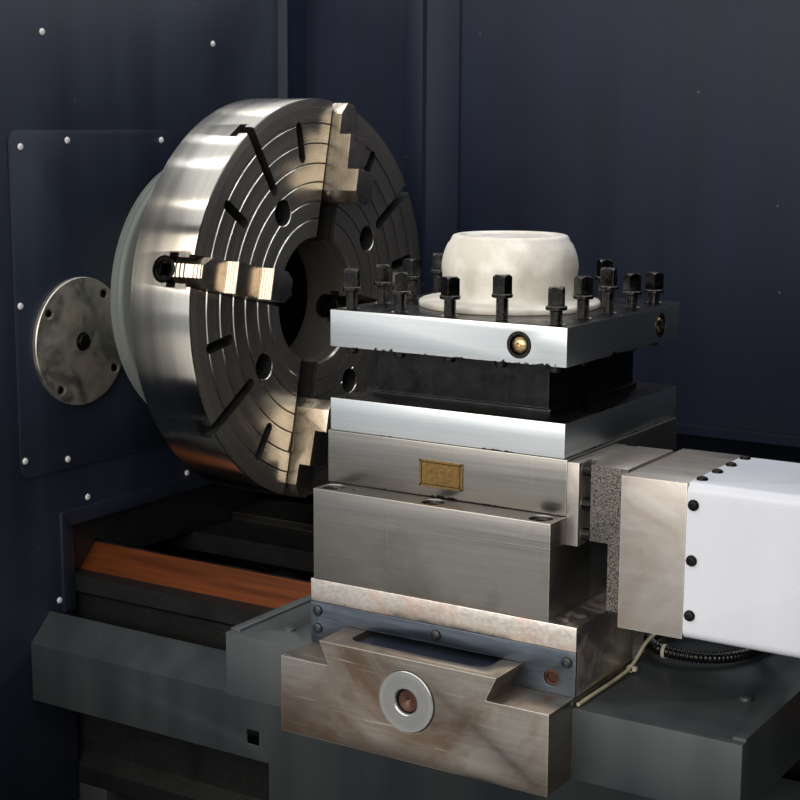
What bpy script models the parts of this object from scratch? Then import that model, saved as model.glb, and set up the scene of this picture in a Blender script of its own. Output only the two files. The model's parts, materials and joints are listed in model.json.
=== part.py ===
# CNC turning lathe with a four-jaw independent chuck and a four-way tool turret.
# Metres, +Z up. Shapes are given in the spindle's frame: X from the chuck's face to the tailstock,
# Y from the spindle axis to the back, Z up from the spindle axis. One empty carries the whole machine.

import math

import bmesh
import bpy
from mathutils import Matrix, Vector

# Clearances
FIT = 0.0003             # between pieces that touch
RUNNING = 0.0004         # round a turning shaft, wide enough for its flat facets
SLIDING = 0.0005         # beside a sliding guide
BITE = 0.002             # how far a cutter or a fused piece reaches past a face

# The machine as a whole
SPINDLE_HEIGHT = 1.130
FRONT = -0.905
BACK = 0.640
TRACK_BOTTOM = 0.5600
TRACK_HEIGHT = 0.0600
PANEL_TOP = TRACK_BOTTOM + TRACK_HEIGHT
SHEET = 0.003

# Chuck
CHUCK_R = 0.315
CHUCK_DEPTH = 0.1136
CHUCK_BORE_R = 0.100
CHUCK_EDGE = 0.003
CHUCK_CLOCK = math.radians(-12.7)
CHUCK_SEGMENTS = 40
RING_GROOVES = (0.129, 0.156, 0.186, 0.215, 0.246, 0.277)
RING_GROOVE = 0.0012
JAW_COUNT = 4
CHANNEL_HALF = 0.0190
SEAT_HALF = 0.0235          # the jaw's full width, sunk into the face
SEAT_DEPTH = 0.0085
T_HALF = 0.0255
T_TOP = -0.0280
T_BOTTOM = -0.0450
LONG_SLOT_HALF = 0.0085
LONG_SLOT_INNER = 0.2000
LONG_SLOT_DEPTH = 0.0270
LONG_SLOT_T_HALF = 0.0160
LONG_SLOT_T_DEPTH = 0.0160
SHORT_SLOT_HALF = 0.0080
SHORT_SLOT_FROM = 0.2190
SHORT_SLOT_TO = 0.2820
CHUCK_BOLT_RING = 0.1670
COUNTERBORE_R = 0.0200
COUNTERBORE_DEPTH = 0.0300
CHUCK_BOLT_R = 0.0135
CHUCK_BOLT_DROP = 0.0140
HEX_R = 0.0075
HEX_DEPTH = 0.0120
SPIGOT_R = 0.1500
SPIGOT_DEPTH = 0.0220

# Jaws and their screws: lengths run outward from the jaw's tip
JAW_HALF = 0.0230
JAW_TIP = 0.0510
JAW_MIDDLE = 0.0550
JAW_TAIL = 0.0520
JAW_STEPS = (0.0630, 0.0400, 0.0180)
JAW_TIP_BEVEL = (0.0120, 0.0160)     # across, along
JAW_END_BEVEL = (0.0140, 0.0205)
JAW_PLACES = (0.1560, 0.1565, 0.1560, 0.1560)   # front, top, back, bottom
TOOTH_DEPTH = 0.0016
RISER_TEETH = 4
END_TEETH = 3
SCREW_AXIS_DEPTH = 0.0530
JAW_SCREW_R = 0.0195
JAW_SCREW_FROM = 0.1060
JAW_SOCKET_HALF = 0.0100
JAW_SOCKET_DEPTH = 0.0200

# Spindle, its bearings and its nose
BACKPLATE_R = 0.2000
BACKPLATE_BACK = -0.1980
BACKPLATE_WEB = -0.1500
SPINDLE_BORE_R = 0.0520
NOSE_R = 0.1480
NOSE_BACK = -0.2220
FRONT_JOURNAL_R = 0.0850
REAR_JOURNAL_R = 0.0700
BEARING_R = 0.1150
FRONT_BEARING_LENGTH = 0.0700
REAR_BEARING_LENGTH = 0.0600
NOSE_RING_R = 0.2225
NOSE_RING_FRONT = -0.2130
NOSE_RING_BACK = -0.2360
NOSE_NECK_R = 0.1250
NOSE_HOLE_R = 0.1300
PULLEY_R = 0.1300
PULLEY_LENGTH = 0.0800
SHAFT_SEGMENTS = 36

# Headstock
HEAD_FRONT = -0.3300
HEAD_BACK_END = -1.0000
HEAD_HALF_WIDTH = 0.3000
HEAD_TOP = 0.3200
WALL_X = -0.3200
GUARD_Y = 0.4200

# Bed: two walls with a V-way in front and a flat way behind, joined by ribs
BED_LEFT = -1.0100
BED_RIGHT = 2.1000
LEFT_END = BED_LEFT - 0.240      # outside of the left cabinet
RIGHT_END = BED_RIGHT + 0.350    # outside of the right cabinet
BED_FRONT = -0.2380
BED_BACK = 0.3120
BED_SHELF = -0.4430
BED_LIP = 0.0270
BED_BOTTOM = -0.8000
V_TOP = -0.4060
V_RIDGE = -0.1670
V_CREST_HALF = 0.0040
BED_WALL = 0.0650
BED_RIB = 0.0300
BED_RIB_COUNT = 7
BED_RIB_FROM = -0.6000
FLAT_WAY = -0.4300
PEDESTAL_LENGTH = 0.7500
FOOT_HEIGHT = 0.0300

# Front way cover
COVER_TOP_Y = -0.2940
COVER_TOP_Z = -0.4900
COVER_FOLD_Y = -0.3370
COVER_FOLD_Z = -0.5320
COVER_BOTTOM_Z = -0.6250
COVER_APRON_FROM = 0.1500

# Saddle: the bar's dovetail runs along Y
BAR_LEFT = 0.4270
BAR_RIGHT = 0.7640
BAR_FRONT = -0.6750
BAR_BACK = 0.3400
LEDGE = -0.3130
BAR_BOTTOM = -0.4020
TAIL_TOP = -0.2863
TAIL_MIDDLE = 0.5910
TAIL_TOP_HALF = 0.1120
TAIL_ROOT_HALF = 0.0995
SLOT_LEFT = 0.5040
SLOT_RIGHT = 0.6780
SLOT_FRONT = -0.6550
SLOT_BACK = 0.2500
SLOT_FLOOR = -0.3720
SLOT_CORNER = 0.0140
WING_LEFT = 0.3060
WING_RIGHT = 0.9490
WING_FRONT = -0.6225
WING_TOP = -0.3225
WING_BOTTOM = -0.4000
WING_BACK = 0.3000
CAST_WING_TOP = -0.3450

# Cross screw
CROSS_SCREW_X = 0.5940
CROSS_SCREW_Z = -0.3340
CROSS_SCREW_R = 0.0160
CROSS_DISC_R = 0.0345
CROSS_DISC_HOLE_R = 0.0130
CROSS_DISC_PROUD = 0.0020
CROSS_DISC_SEAT = 0.0100

# Cross slide and what stands on it
SLIDE_FRONT = -0.6180
SLIDE_BACK = -0.1500
SLIDE_LEFT = 0.4280
SLIDE_RIGHT = 0.7650
SLIDE_TOP = -0.2370
SLIDE_STEP_Y = -0.4730
SLIDE_STEP = 0.0300
WIPER_TOP = -0.2640
WIPER = 0.0040
RISER_LEFT = 0.4320
RISER_RIGHT = 0.7325
RISER_TOP = -0.1310
RISER_BACK = -0.2500
RISER_LINE = -0.1600
TURRET_LEFT = 0.4310
TURRET_SIDE = 0.2980
TURRET_FRONT = -0.5820
BASE_TOP = -0.0700
BOTTOM_PLATE_TOP = -0.0320
TOP_PLATE_BOTTOM = 0.0266
TOP_PLATE_TOP = 0.0688
TOOL_SLOT = 0.0400
CLAMP_FIRST = (-0.1345, -0.1260)     # the corner screw, from the turret's middle
CLAMP_PITCH = (0.0647, 0.0638)
CLAMP_ALONG = 5
# how far each clamp screw stands up, row by row from the front left corner
CLAMP_TOPS = (
    0.1137, 0.1132, 0.1116, 0.1173, 0.1081, 0.1143, 0.1142, 0.1164,
    0.1188, 0.1189, 0.1078, 0.1120, 0.1150, 0.1135, 0.1160, 0.1042,
)
CLAMP_SHANK_R = 0.0070
CLAMP_HEAD_HALF = 0.0076
CLAMP_HEAD = 0.0205
CLAMP_TURN = math.radians(21.0)      # each head stands turned by a little more than the last
CLAMP_COLLAR_R = 0.0115
CLAMP_COLLAR = 0.0040
CLAMP_TIP = 0.0090
NOZZLE_R = 0.0145
CAP_FLANGE_R = 0.1050
CAP_BULGE_R = 0.0790
CAP_TOP_R = 0.0690
CAP_TOP = 0.1510

# Turret motor housing
FLANGE = 0.0135
FLANGE_BACK = -0.4300
FLANGE_BOTTOM = -0.1610
ADAPTER_LEFT = 0.7600
ADAPTER_BACK = -0.4640
ADAPTER_STEP_Z = -0.1530
ADAPTER_STEP_X = 0.7810
ADAPTER_FOOT = -0.2250
HOUSING_LEFT = 0.7990
HOUSING_RIGHT = 0.8700
HOUSING_FRONT = -0.5920
HOUSING_BACK = -0.4300
HOUSING_TOP = -0.0760
HOUSING_BOTTOM = -0.2370
COVER_END = 1.1900
COVER_ROUND = 0.0100
HOUSING_BOLT_R = 0.0070

# Ball screws
LEAD_Y = -0.2850
LEAD_Z = -0.5600
LEAD_R = 0.0200
LEAD_LEFT = -0.2800
NUT_R = 0.0420
BRACKET_LEFT = 0.5200
BRACKET_RIGHT = 0.6600

# Tailstock
TAIL_LEFT = BED_RIGHT - 0.400
TAIL_LENGTH = 0.3400
TAIL_HALF_WIDTH = 0.1450
QUILL_R = 0.0500
QUILL_OUT = 0.0400
QUILL_LENGTH = 0.3000
QUILL_SCREW_R = 0.0160
CENTRE_R = 0.0300
CENTRE_LENGTH = 0.0900
WHEEL_R = 0.1250

# Front: sill, door tracks and doors
SILL_TOP = -0.5600
SKIRT_BOTTOM = -0.9450
SILL_BACK = -0.8480
DOOR_WIDTH = 0.7500
DOOR_FRONT = FRONT + 0.0190
DOOR_THICK = 0.0280
DOOR_LAP = 0.0150
LEFT_DOOR_FROM = WALL_X + DOOR_LAP - DOOR_WIDTH
RIGHT_DOOR_FROM = 1.2050
CONSOLE_LEFT = RIGHT_DOOR_FROM + DOOR_WIDTH + DOOR_LAP
CONSOLE_HEIGHTS = (-0.1500, 0.4200)
WINDOW_BORDER = 0.1400
WINDOW_HEIGHTS = (-0.1000, 0.4200)
# the door runs in a groove of the sill
GROOVE_FRONT = DOOR_FRONT + 0.0060
GROOVE = 0.0060

SQUARE = math.pi / 2.0


def material(name, hexColour, roughness, metallic):
    made = bpy.data.materials.new(name)
    made.use_nodes = True
    shader = made.node_tree.nodes["Principled BSDF"]
    channels = [int(hexColour[i:i + 2], 16) / 255.0 for i in (0, 2, 4)]
    linear = [c / 12.92 if c <= 0.04045 else ((c + 0.055) / 1.055) ** 2.4 for c in channels]
    shader.inputs["Base Color"].default_value = (*linear, 1.0)
    shader.inputs["Roughness"].default_value = roughness
    shader.inputs["Metallic"].default_value = metallic
    made.diffuse_color = (*linear, 1.0)
    return made


def newMesh(bm, name, smooth=False):
    bmesh.ops.recalc_face_normals(bm, faces=bm.faces)
    if smooth:
        for face in bm.faces:
            face.smooth = True
        for edge in bm.edges:
            if len(edge.link_faces) == 2 and edge.calc_face_angle() > math.radians(35):
                edge.smooth = False
    mesh = bpy.data.meshes.new(name)
    bm.to_mesh(mesh)
    bm.free()
    return mesh


def place(name, shape, finish, parent, smooth=False):
    """Makes a named piece of the machine from a bmesh or a mesh, under its carrier."""
    mesh = shape if isinstance(shape, bpy.types.Mesh) else newMesh(shape, name, smooth)
    if not mesh.materials:
        mesh.materials.append(finish)
    piece = bpy.data.objects.new(name, mesh)
    MACHINE.objects.link(piece)
    piece.parent = parent
    return piece


def helper(name, shape, parent):
    mesh = newMesh(shape, name)
    made = bpy.data.objects.new(name, mesh)
    HELPERS.objects.link(made)
    made.hide_render = True
    made.display_type = "WIRE"
    made.parent = parent
    return made


def combine(piece, shape, operation, label):
    tool = helper(piece.name + "_" + label, shape, piece.parent)
    tool.location = piece.location
    tool.rotation_euler = piece.rotation_euler
    step = piece.modifiers.new(label, "BOOLEAN")
    step.operation = operation
    step.object = tool
    step.solver = "EXACT"


def cut(piece, shape, label):
    combine(piece, shape, "DIFFERENCE", label)


def fuse(piece, shape, label):
    combine(piece, shape, "UNION", label)


def empty(name, parent=None, location=(0.0, 0.0, 0.0), turn=(0.0, 0.0, 0.0)):
    made = bpy.data.objects.new(name, None)
    MACHINE.objects.link(made)
    made.empty_display_size = 0.1
    made.parent = parent
    made.location = location
    made.rotation_euler = turn
    return made


def box(bm, x, y, z):
    """Adds a box between the pairs x, y and z."""
    size = Vector((x[1] - x[0], y[1] - y[0], z[1] - z[0]))
    middle = Vector((sum(x), sum(y), sum(z))) / 2.0
    bmesh.ops.create_cube(bm, size=1.0, matrix=Matrix.Translation(middle) @ Matrix.Diagonal((*size, 1.0)))
    return bm


def boxes(*sides):
    bm = bmesh.new()
    for x, y, z in sides:
        box(bm, x, y, z)
    return bm


def prism(bm, outline, axis, span):
    """Adds an outline swept along an axis: (y, z) points along X, (x, z) along Y, (x, y) along Z."""
    spots = {
        "X": lambda a, b: (span[0], a, b),
        "Y": lambda a, b: (a, span[0], b),
        "Z": lambda a, b: (a, b, span[0]),
    }[axis]
    push = Vector([span[1] - span[0] if letter == axis else 0.0 for letter in "XYZ"])
    face = bm.faces.new([bm.verts.new(spots(a, b)) for a, b in outline])
    swept = bmesh.ops.extrude_face_region(bm, geom=[face])
    moved = [v for v in swept["geom"] if isinstance(v, bmesh.types.BMVert)]
    bmesh.ops.translate(bm, verts=moved, vec=push)
    return bm


def swept(outline, axis, span):
    return prism(bmesh.new(), outline, axis, span)


def axisMatrix(axis, centre):
    """Turns a shape made along Z to lie along another axis, and moves it to a centre."""
    turn = {
        "X": Matrix.Rotation(SQUARE, 4, "Y"),
        "Y": Matrix.Rotation(-SQUARE, 4, "X"),
        "Z": Matrix.Identity(4),
    }[axis]
    return Matrix.Translation(Vector(centre)) @ turn


def cylinder(bm, axis, centre, radius, span, segments=32):
    """Adds a cylinder whose axis passes through a centre; the span is its two ends along the axis."""
    slot = "XYZ".index(axis)
    middle = list(centre)
    middle[slot] = sum(span) / 2.0
    bmesh.ops.create_cone(
        bm, cap_ends=True, segments=segments, radius1=radius, radius2=radius,
        depth=abs(span[1] - span[0]), matrix=axisMatrix(axis, middle),
    )
    return bm


def turned(profile, segments, axis="X", centre=(0.0, 0.0, 0.0), closed=True):
    """Spins (radius, along) points about an axis. An open profile starts and ends on the axis."""
    bm = bmesh.new()
    verts = [bm.verts.new((r, 0.0, along)) for r, along in profile]
    edges = [bm.edges.new(pair) for pair in zip(verts, verts[1:])]
    if closed:
        edges.append(bm.edges.new((verts[-1], verts[0])))
    bmesh.ops.spin(
        bm, geom=verts + edges, cent=(0.0, 0.0, 0.0), axis=(0.0, 0.0, 1.0),
        angle=2.0 * math.pi, steps=segments, use_merge=True,
    )
    bmesh.ops.remove_doubles(bm, verts=bm.verts, dist=1e-6)
    bmesh.ops.transform(bm, matrix=axisMatrix(axis, centre), verts=bm.verts)
    return bm


def tube(outer, inner, span, segments=SHAFT_SEGMENTS, axis="X", centre=(0.0, 0.0, 0.0)):
    low, high = span
    return turned([(inner, low), (outer, low), (outer, high), (inner, high)], segments, axis, centre)


def arc(cx, cy, radius, start, end, steps):
    """Points on an arc, from one angle to another in degrees."""
    turns = [math.radians(start + (end - start) * i / steps) for i in range(steps + 1)]
    return [(cx + radius * math.cos(t), cy + radius * math.sin(t)) for t in turns]


def roundedRectangle(x, y, radius, steps=4):
    return (
        arc(x[1] - radius, y[0] + radius, radius, -90, 0, steps)
        + arc(x[1] - radius, y[1] - radius, radius, 0, 90, steps)
        + arc(x[0] + radius, y[1] - radius, radius, 90, 180, steps)
        + arc(x[0] + radius, y[0] + radius, radius, 180, 270, steps)
    )


def aroundX(bm, turns):
    """Repeats a shape about the X axis, once for each angle in radians."""
    source = bm.copy()
    bm.clear()
    for turn in turns:
        copy = source.copy()
        bmesh.ops.rotate(copy, cent=(0.0, 0.0, 0.0), matrix=Matrix.Rotation(turn, 3, "X"), verts=copy.verts)
        mesh = bpy.data.meshes.new("copy")
        copy.to_mesh(mesh)
        copy.free()
        bm.from_mesh(mesh)
        bpy.data.meshes.remove(mesh)
    source.free()
    return bm


def jawTurn(index):
    """Angle about the spindle that carries a jaw pointing up to its own channel: front, top, back, bottom."""
    return SQUARE - index * SQUARE


# Chuck

def slotOutline(half, inner, outer, roundOuter):
    """A radial slot seen on the chuck's face, pointing up, with a round inner end."""
    points = arc(0.0, inner + half, half, 180, 360, 4)
    if roundOuter:
        return points + arc(0.0, outer - half, half, 0, 180, 4)
    return points + [(half, outer), (-half, outer)]


def chuckProfile():
    face = [(CHUCK_BORE_R, -CHUCK_EDGE), (CHUCK_BORE_R + CHUCK_EDGE, 0.0)]
    for radius in RING_GROOVES:
        face += [(radius - RING_GROOVE, 0.0), (radius, -RING_GROOVE), (radius + RING_GROOVE, 0.0)]
    return face + [
        (CHUCK_R - CHUCK_EDGE, 0.0),
        (CHUCK_R, -CHUCK_EDGE),
        (CHUCK_R, -CHUCK_DEPTH + CHUCK_EDGE),
        (CHUCK_R - CHUCK_EDGE, -CHUCK_DEPTH),
        (SPIGOT_R + FIT, -CHUCK_DEPTH),
        (SPIGOT_R + FIT, -CHUCK_DEPTH + SPIGOT_DEPTH),
        (CHUCK_BORE_R, -CHUCK_DEPTH + SPIGOT_DEPTH),
    ]


def addChuck(carrier):
    chuck = place("chuck_body", turned(chuckProfile(), CHUCK_SEGMENTS), STEEL, carrier, smooth=True)
    jaws = [index * SQUARE for index in range(JAW_COUNT)]
    reach = CHUCK_R + 0.03
    start = CHUCK_BORE_R - 0.02
    necks = boxes(((-SCREW_AXIS_DEPTH, BITE), (-CHANNEL_HALF, CHANNEL_HALF), (start, reach)))
    cut(chuck, aroundX(necks, jaws), "channels")
    seats = boxes(((-SEAT_DEPTH, BITE), (-SEAT_HALF, SEAT_HALF), (start, reach)))
    cut(chuck, aroundX(seats, jaws), "jaw_seats")
    guides = boxes(((T_BOTTOM, T_TOP), (-T_HALF, T_HALF), (start, reach)))
    cut(chuck, aroundX(guides, jaws), "guides")
    bores = cylinder(bmesh.new(), "Z", (-SCREW_AXIS_DEPTH, 0, 0), JAW_SCREW_R + RUNNING * 2, (start, reach), 20)
    cut(chuck, aroundX(bores, jaws), "screw_bores")
    between = [turn + SQUARE / 2.0 for turn in jaws]
    outline = slotOutline(LONG_SLOT_HALF, LONG_SLOT_INNER, reach, False)
    cut(chuck, aroundX(swept(outline, "X", (-LONG_SLOT_DEPTH, BITE)), between), "long_slots")
    outline = slotOutline(LONG_SLOT_T_HALF, LONG_SLOT_INNER - 0.004, reach, False)
    undercut = swept(outline, "X", (-LONG_SLOT_DEPTH - BITE, -LONG_SLOT_T_DEPTH))
    cut(chuck, aroundX(undercut, between), "slot_undercuts")
    beside = [turn + side * SQUARE / 4.0 for turn in jaws for side in (-1, 1)]
    outline = slotOutline(SHORT_SLOT_HALF, SHORT_SLOT_FROM, SHORT_SLOT_TO, True)
    cut(chuck, aroundX(swept(outline, "X", (-CHUCK_DEPTH - BITE, BITE)), beside), "short_slots")
    profile = [
        (0.0, BITE), (COUNTERBORE_R, BITE), (COUNTERBORE_R, -COUNTERBORE_DEPTH),
        (CHUCK_BOLT_R, -COUNTERBORE_DEPTH), (CHUCK_BOLT_R, -CHUCK_BOLT_DROP),
        (HEX_R, -CHUCK_BOLT_DROP), (HEX_R, -CHUCK_BOLT_DROP - HEX_DEPTH), (0.0, -CHUCK_BOLT_DROP - HEX_DEPTH),
    ]
    holes = turned(profile, 12, "X", (0.0, 0.0, CHUCK_BOLT_RING), closed=False)
    cut(chuck, aroundX(holes, between), "bolt_holes")


def teeth(along, low, high, count):
    """Serrations on a step's riser, as (along, height) points going down."""
    pitch = (high - low) / count
    points = []
    for index in range(count):
        top = high - index * pitch
        points += [(along, top), (along - TOOTH_DEPTH, top - pitch / 2.0)]
    return points


def jawMesh():
    """One jaw in its own frame: origin on its tip, Z outward, X up from the chuck's face."""
    tip, middle, tail = JAW_STEPS
    first = JAW_TIP
    second = first + JAW_MIDDLE
    end = second + JAW_TAIL
    foot = -SEAT_DEPTH + FIT
    side = [(0.0, foot), (0.0, tip)]
    side += [(first, tip)] + teeth(first, middle, tip - 0.002, RISER_TEETH) + [(first, middle)]
    side += [(second, middle)] + teeth(second, tail, middle - 0.002, RISER_TEETH) + [(second, tail)]
    side += [(end, tail)] + teeth(end, foot + 0.001, tail - 0.002, END_TEETH) + [(end, foot)]
    outline = [(height, along) for along, height in side]
    bm = swept(outline, "Y", (-JAW_HALF, JAW_HALF))
    return bm, end


def bevelCorner(side, edge, away, across, along):
    """The triangle cut off one corner of a jaw's end, a bite wider all round than the corner itself."""
    slope = along / across
    outer = JAW_HALF + BITE
    inner = JAW_HALF - across - BITE / slope
    return [
        (side * inner, edge + away * BITE), (side * outer, edge + away * BITE),
        (side * outer, edge - away * (along + BITE * slope)),
    ]


def addJaws(carrier):
    bm, end = jawMesh()
    shared = None
    for index, name in enumerate(("front", "top", "back", "bottom")):
        slide = empty("jaw_slide_" + name, carrier, turn=(jawTurn(index), 0.0, 0.0))
        if shared is None:
            jaw = place("jaw_" + name, bm, JAW_STEEL, slide)
            shared = jaw.data
        else:
            jaw = place("jaw_" + name, shared, JAW_STEEL, slide)
        jaw.location = (0.0, 0.0, JAW_PLACES[index])
        under = boxes(
            ((T_BOTTOM + SLIDING, BITE), (-CHANNEL_HALF + SLIDING, CHANNEL_HALF - SLIDING), (0.0, end)),
        )
        fuse(jaw, under, "neck")
        tongues = boxes(
            ((T_BOTTOM + SLIDING, T_TOP - SLIDING), (-T_HALF + SLIDING, T_HALF - SLIDING), (0.0, end)),
        )
        fuse(jaw, tongues, "tongues")
        screwRoom = (-SCREW_AXIS_DEPTH, 0.0, 0.0)
        trough = cylinder(bmesh.new(), "Z", screwRoom, JAW_SCREW_R + RUNNING, (-BITE, end + BITE), 24)
        cut(jaw, trough, "half_nut")
        bevels = bmesh.new()
        for turn in (-1, 1):
            for edge, away, (across, along) in ((0.0, -1, JAW_TIP_BEVEL), (end, 1, JAW_END_BEVEL)):
                corner = bevelCorner(turn, edge, away, across, along)
                prism(bevels, corner, "X", (T_BOTTOM - BITE, JAW_STEPS[0] + BITE))
        cut(jaw, bevels, "bevels")


def addJawScrews(carrier):
    for index, name in enumerate(("front", "top", "back", "bottom")):
        axis = empty("jaw_screw_axis_" + name, carrier, turn=(jawTurn(index), 0.0, 0.0))
        low = JAW_SCREW_FROM
        high = CHUCK_R - 0.001
        neck = high - 0.045
        groove = 0.012
        profile = [
            (0.0, low), (JAW_SCREW_R, low), (JAW_SCREW_R, neck), (JAW_SCREW_R * 0.72, neck),
            (JAW_SCREW_R * 0.72, neck + groove), (JAW_SCREW_R, neck + groove),
            (JAW_SCREW_R, high - 0.002), (JAW_SCREW_R - 0.002, high), (0.0, high),
        ]
        shape = turned(profile, 16, "Z", (0.0, 0.0, 0.0), closed=False)
        screw = place("jaw_screw_" + name, shape, BLACK_OXIDE, axis, smooth=True)
        screw.location = (-SCREW_AXIS_DEPTH, 0.0, 0.0)
        half = JAW_SOCKET_HALF
        cut(screw, boxes(((-half, half), (-half, half), (high - JAW_SOCKET_DEPTH, high + BITE))), "socket")


def addSpindle(carrier):
    joint = -CHUCK_DEPTH + SPIGOT_DEPTH - FIT
    profile = [
        (CHUCK_BORE_R, joint), (SPIGOT_R, joint), (SPIGOT_R, -CHUCK_DEPTH - FIT),
        (BACKPLATE_R, -CHUCK_DEPTH - FIT), (BACKPLATE_R, BACKPLATE_BACK), (SPINDLE_BORE_R, BACKPLATE_BACK),
        (SPINDLE_BORE_R, BACKPLATE_WEB), (CHUCK_BORE_R, BACKPLATE_WEB),
    ]
    place("chuck_backplate", turned(profile, CHUCK_SEGMENTS), BLACK_OXIDE, carrier, smooth=True)
    front = BACKPLATE_BACK - FIT
    rearBearing = HEAD_BACK_END + REAR_BEARING_LENGTH
    end = HEAD_BACK_END - PULLEY_LENGTH - 0.05
    profile = [
        (SPINDLE_BORE_R, front), (NOSE_R, front), (NOSE_R, NOSE_BACK), (FRONT_JOURNAL_R, NOSE_BACK),
        (FRONT_JOURNAL_R, HEAD_FRONT - FRONT_BEARING_LENGTH - 0.02), (REAR_JOURNAL_R + 0.004, rearBearing + 0.02),
        (REAR_JOURNAL_R, rearBearing + 0.02), (REAR_JOURNAL_R, end), (SPINDLE_BORE_R, end),
    ]
    place("spindle", turned(profile, SHAFT_SEGMENTS), STEEL, carrier, smooth=True)
    inner = REAR_JOURNAL_R + FIT
    low = HEAD_BACK_END - 0.02 - PULLEY_LENGTH
    shape = grooved(inner, PULLEY_R, (low, low + PULLEY_LENGTH), "X", (0.0, 0.0, 0.0))
    place("spindle_pulley", shape, CAST, carrier, smooth=True)


def grooved(inner, outer, span, axis, centre):
    """A pulley with a belt trough between two rims."""
    low, high = span
    rim = 0.008
    trough = outer - 0.012
    profile = [
        (inner, low), (outer, low), (outer, low + rim), (trough, low + rim),
        (trough, high - rim), (outer, high - rim), (outer, high), (inner, high),
    ]
    return turned(profile, SHAFT_SEGMENTS, axis, centre)


def addHeadstock(root):
    low = BED_SHELF + FIT
    outline = [
        (-HEAD_HALF_WIDTH + 0.06, BED_SHELF + FIT), (-HEAD_HALF_WIDTH, low + 0.06),
        (-HEAD_HALF_WIDTH, HEAD_TOP - 0.05), (-HEAD_HALF_WIDTH + 0.05, HEAD_TOP),
        (HEAD_HALF_WIDTH - 0.05, HEAD_TOP), (HEAD_HALF_WIDTH, HEAD_TOP - 0.05),
        (HEAD_HALF_WIDTH, low + 0.06), (HEAD_HALF_WIDTH - 0.06, low),
    ]
    head = place("headstock_casting", swept(outline, "X", (HEAD_BACK_END, HEAD_FRONT)), CAST, root)
    bore = cylinder(bmesh.new(), "X", (0, 0, 0), BEARING_R, (HEAD_BACK_END - BITE, HEAD_FRONT + BITE), SHAFT_SEGMENTS)
    cut(head, bore, "bore")
    half = V_TOP - BED_SHELF + 0.004
    groove = [
        (V_RIDGE - half - BITE, BED_SHELF - BITE), (V_RIDGE + half + BITE, BED_SHELF - BITE),
        (V_RIDGE + V_CREST_HALF, V_TOP + 0.004), (V_RIDGE - V_CREST_HALF, V_TOP + 0.004),
    ]
    cut(head, swept(groove, "X", (HEAD_BACK_END - BITE, HEAD_FRONT + BITE)), "way_groove")
    rear = (HEAD_BACK_END - BITE, HEAD_FRONT + BITE)
    cut(head, boxes((rear, (BED_BACK - 0.13, BED_BACK), (BED_SHELF - BITE, FLAT_WAY + FIT))), "flat_seat")
    outer = BEARING_R - FIT
    span = (HEAD_FRONT - FRONT_BEARING_LENGTH, HEAD_FRONT - FIT)
    place("front_spindle_bearing", tube(outer, FRONT_JOURNAL_R + RUNNING, span), STEEL, root, smooth=True)
    span = (HEAD_BACK_END + FIT, HEAD_BACK_END + REAR_BEARING_LENGTH)
    place("rear_spindle_bearing", tube(outer, REAR_JOURNAL_R + RUNNING, span), STEEL, root, smooth=True)
    front = NOSE_RING_FRONT
    chamfer = 0.006
    bore = NOSE_R + 0.004
    throat = FRONT_JOURNAL_R + 0.004
    profile = [
        (throat, HEAD_FRONT + FIT), (NOSE_NECK_R, HEAD_FRONT + FIT), (NOSE_NECK_R, NOSE_RING_BACK),
        (NOSE_RING_R, NOSE_RING_BACK), (NOSE_RING_R, front - chamfer), (NOSE_RING_R - chamfer, front),
        (bore, front), (bore, NOSE_BACK - 0.003), (throat, NOSE_BACK - 0.003),
    ]
    place("spindle_nose_ring", turned(profile, CHUCK_SEGMENTS), RING_PAINT, root, smooth=True)


def addDrive(root, turning):
    """The main motor stands behind the headstock's left end and drives the spindle by one belt."""
    x = HEAD_BACK_END - 0.02 - PULLEY_LENGTH
    motorZ = -0.62
    motorY = 0.05
    body = cylinder(bmesh.new(), "X", (0, motorY, motorZ), 0.125, (x + 0.10, x + 0.10 + 0.36), 32)
    motor = place("main_motor", body, DARK_PAINT, root, smooth=True)
    feet = boxes(((x + 0.14, x + 0.42), (motorY - 0.12, motorY + 0.12), (BED_BOTTOM, motorZ - 0.08)))
    fuse(motor, feet, "feet")
    shaft = cylinder(bmesh.new(), "X", (0, motorY, motorZ), 0.024, (x - 0.01, x + 0.12), 24)
    fuse(motor, shaft, "shaft")
    ratioR = 0.075
    axis = empty("motor_pulley_axis", turning, (0.0, motorY, motorZ))
    shape = grooved(0.024 + RUNNING, ratioR, (x, x + PULLEY_LENGTH), "X", (0.0, 0.0, 0.0))
    place("motor_pulley", shape, CAST, axis, smooth=True)
    belt = (x + 0.014, x + PULLEY_LENGTH - 0.014)
    thick = 0.006
    gap = 0.001
    top = PULLEY_R - 0.012 + gap
    low = ratioR - 0.012 + gap
    lean = math.degrees(math.atan2(motorY, -motorZ))
    outer = beltOutline(top + thick, low + thick, motorY, motorZ, lean)
    inner = beltOutline(top, low, motorY, motorZ, lean)
    loop = place("drive_belt", swept(outer, "X", belt), RUBBER, root)
    cut(loop, swept(inner, "X", (belt[0] - BITE, belt[1] + BITE)), "inside")
    return ratioR


def beltOutline(top, low, y, z, lean):
    return arc(0.0, 0.0, top, lean, 180 + lean, 20) + arc(y, z, low, 180 + lean, 360 + lean, 16)


# Bed and what stands under it

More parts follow.
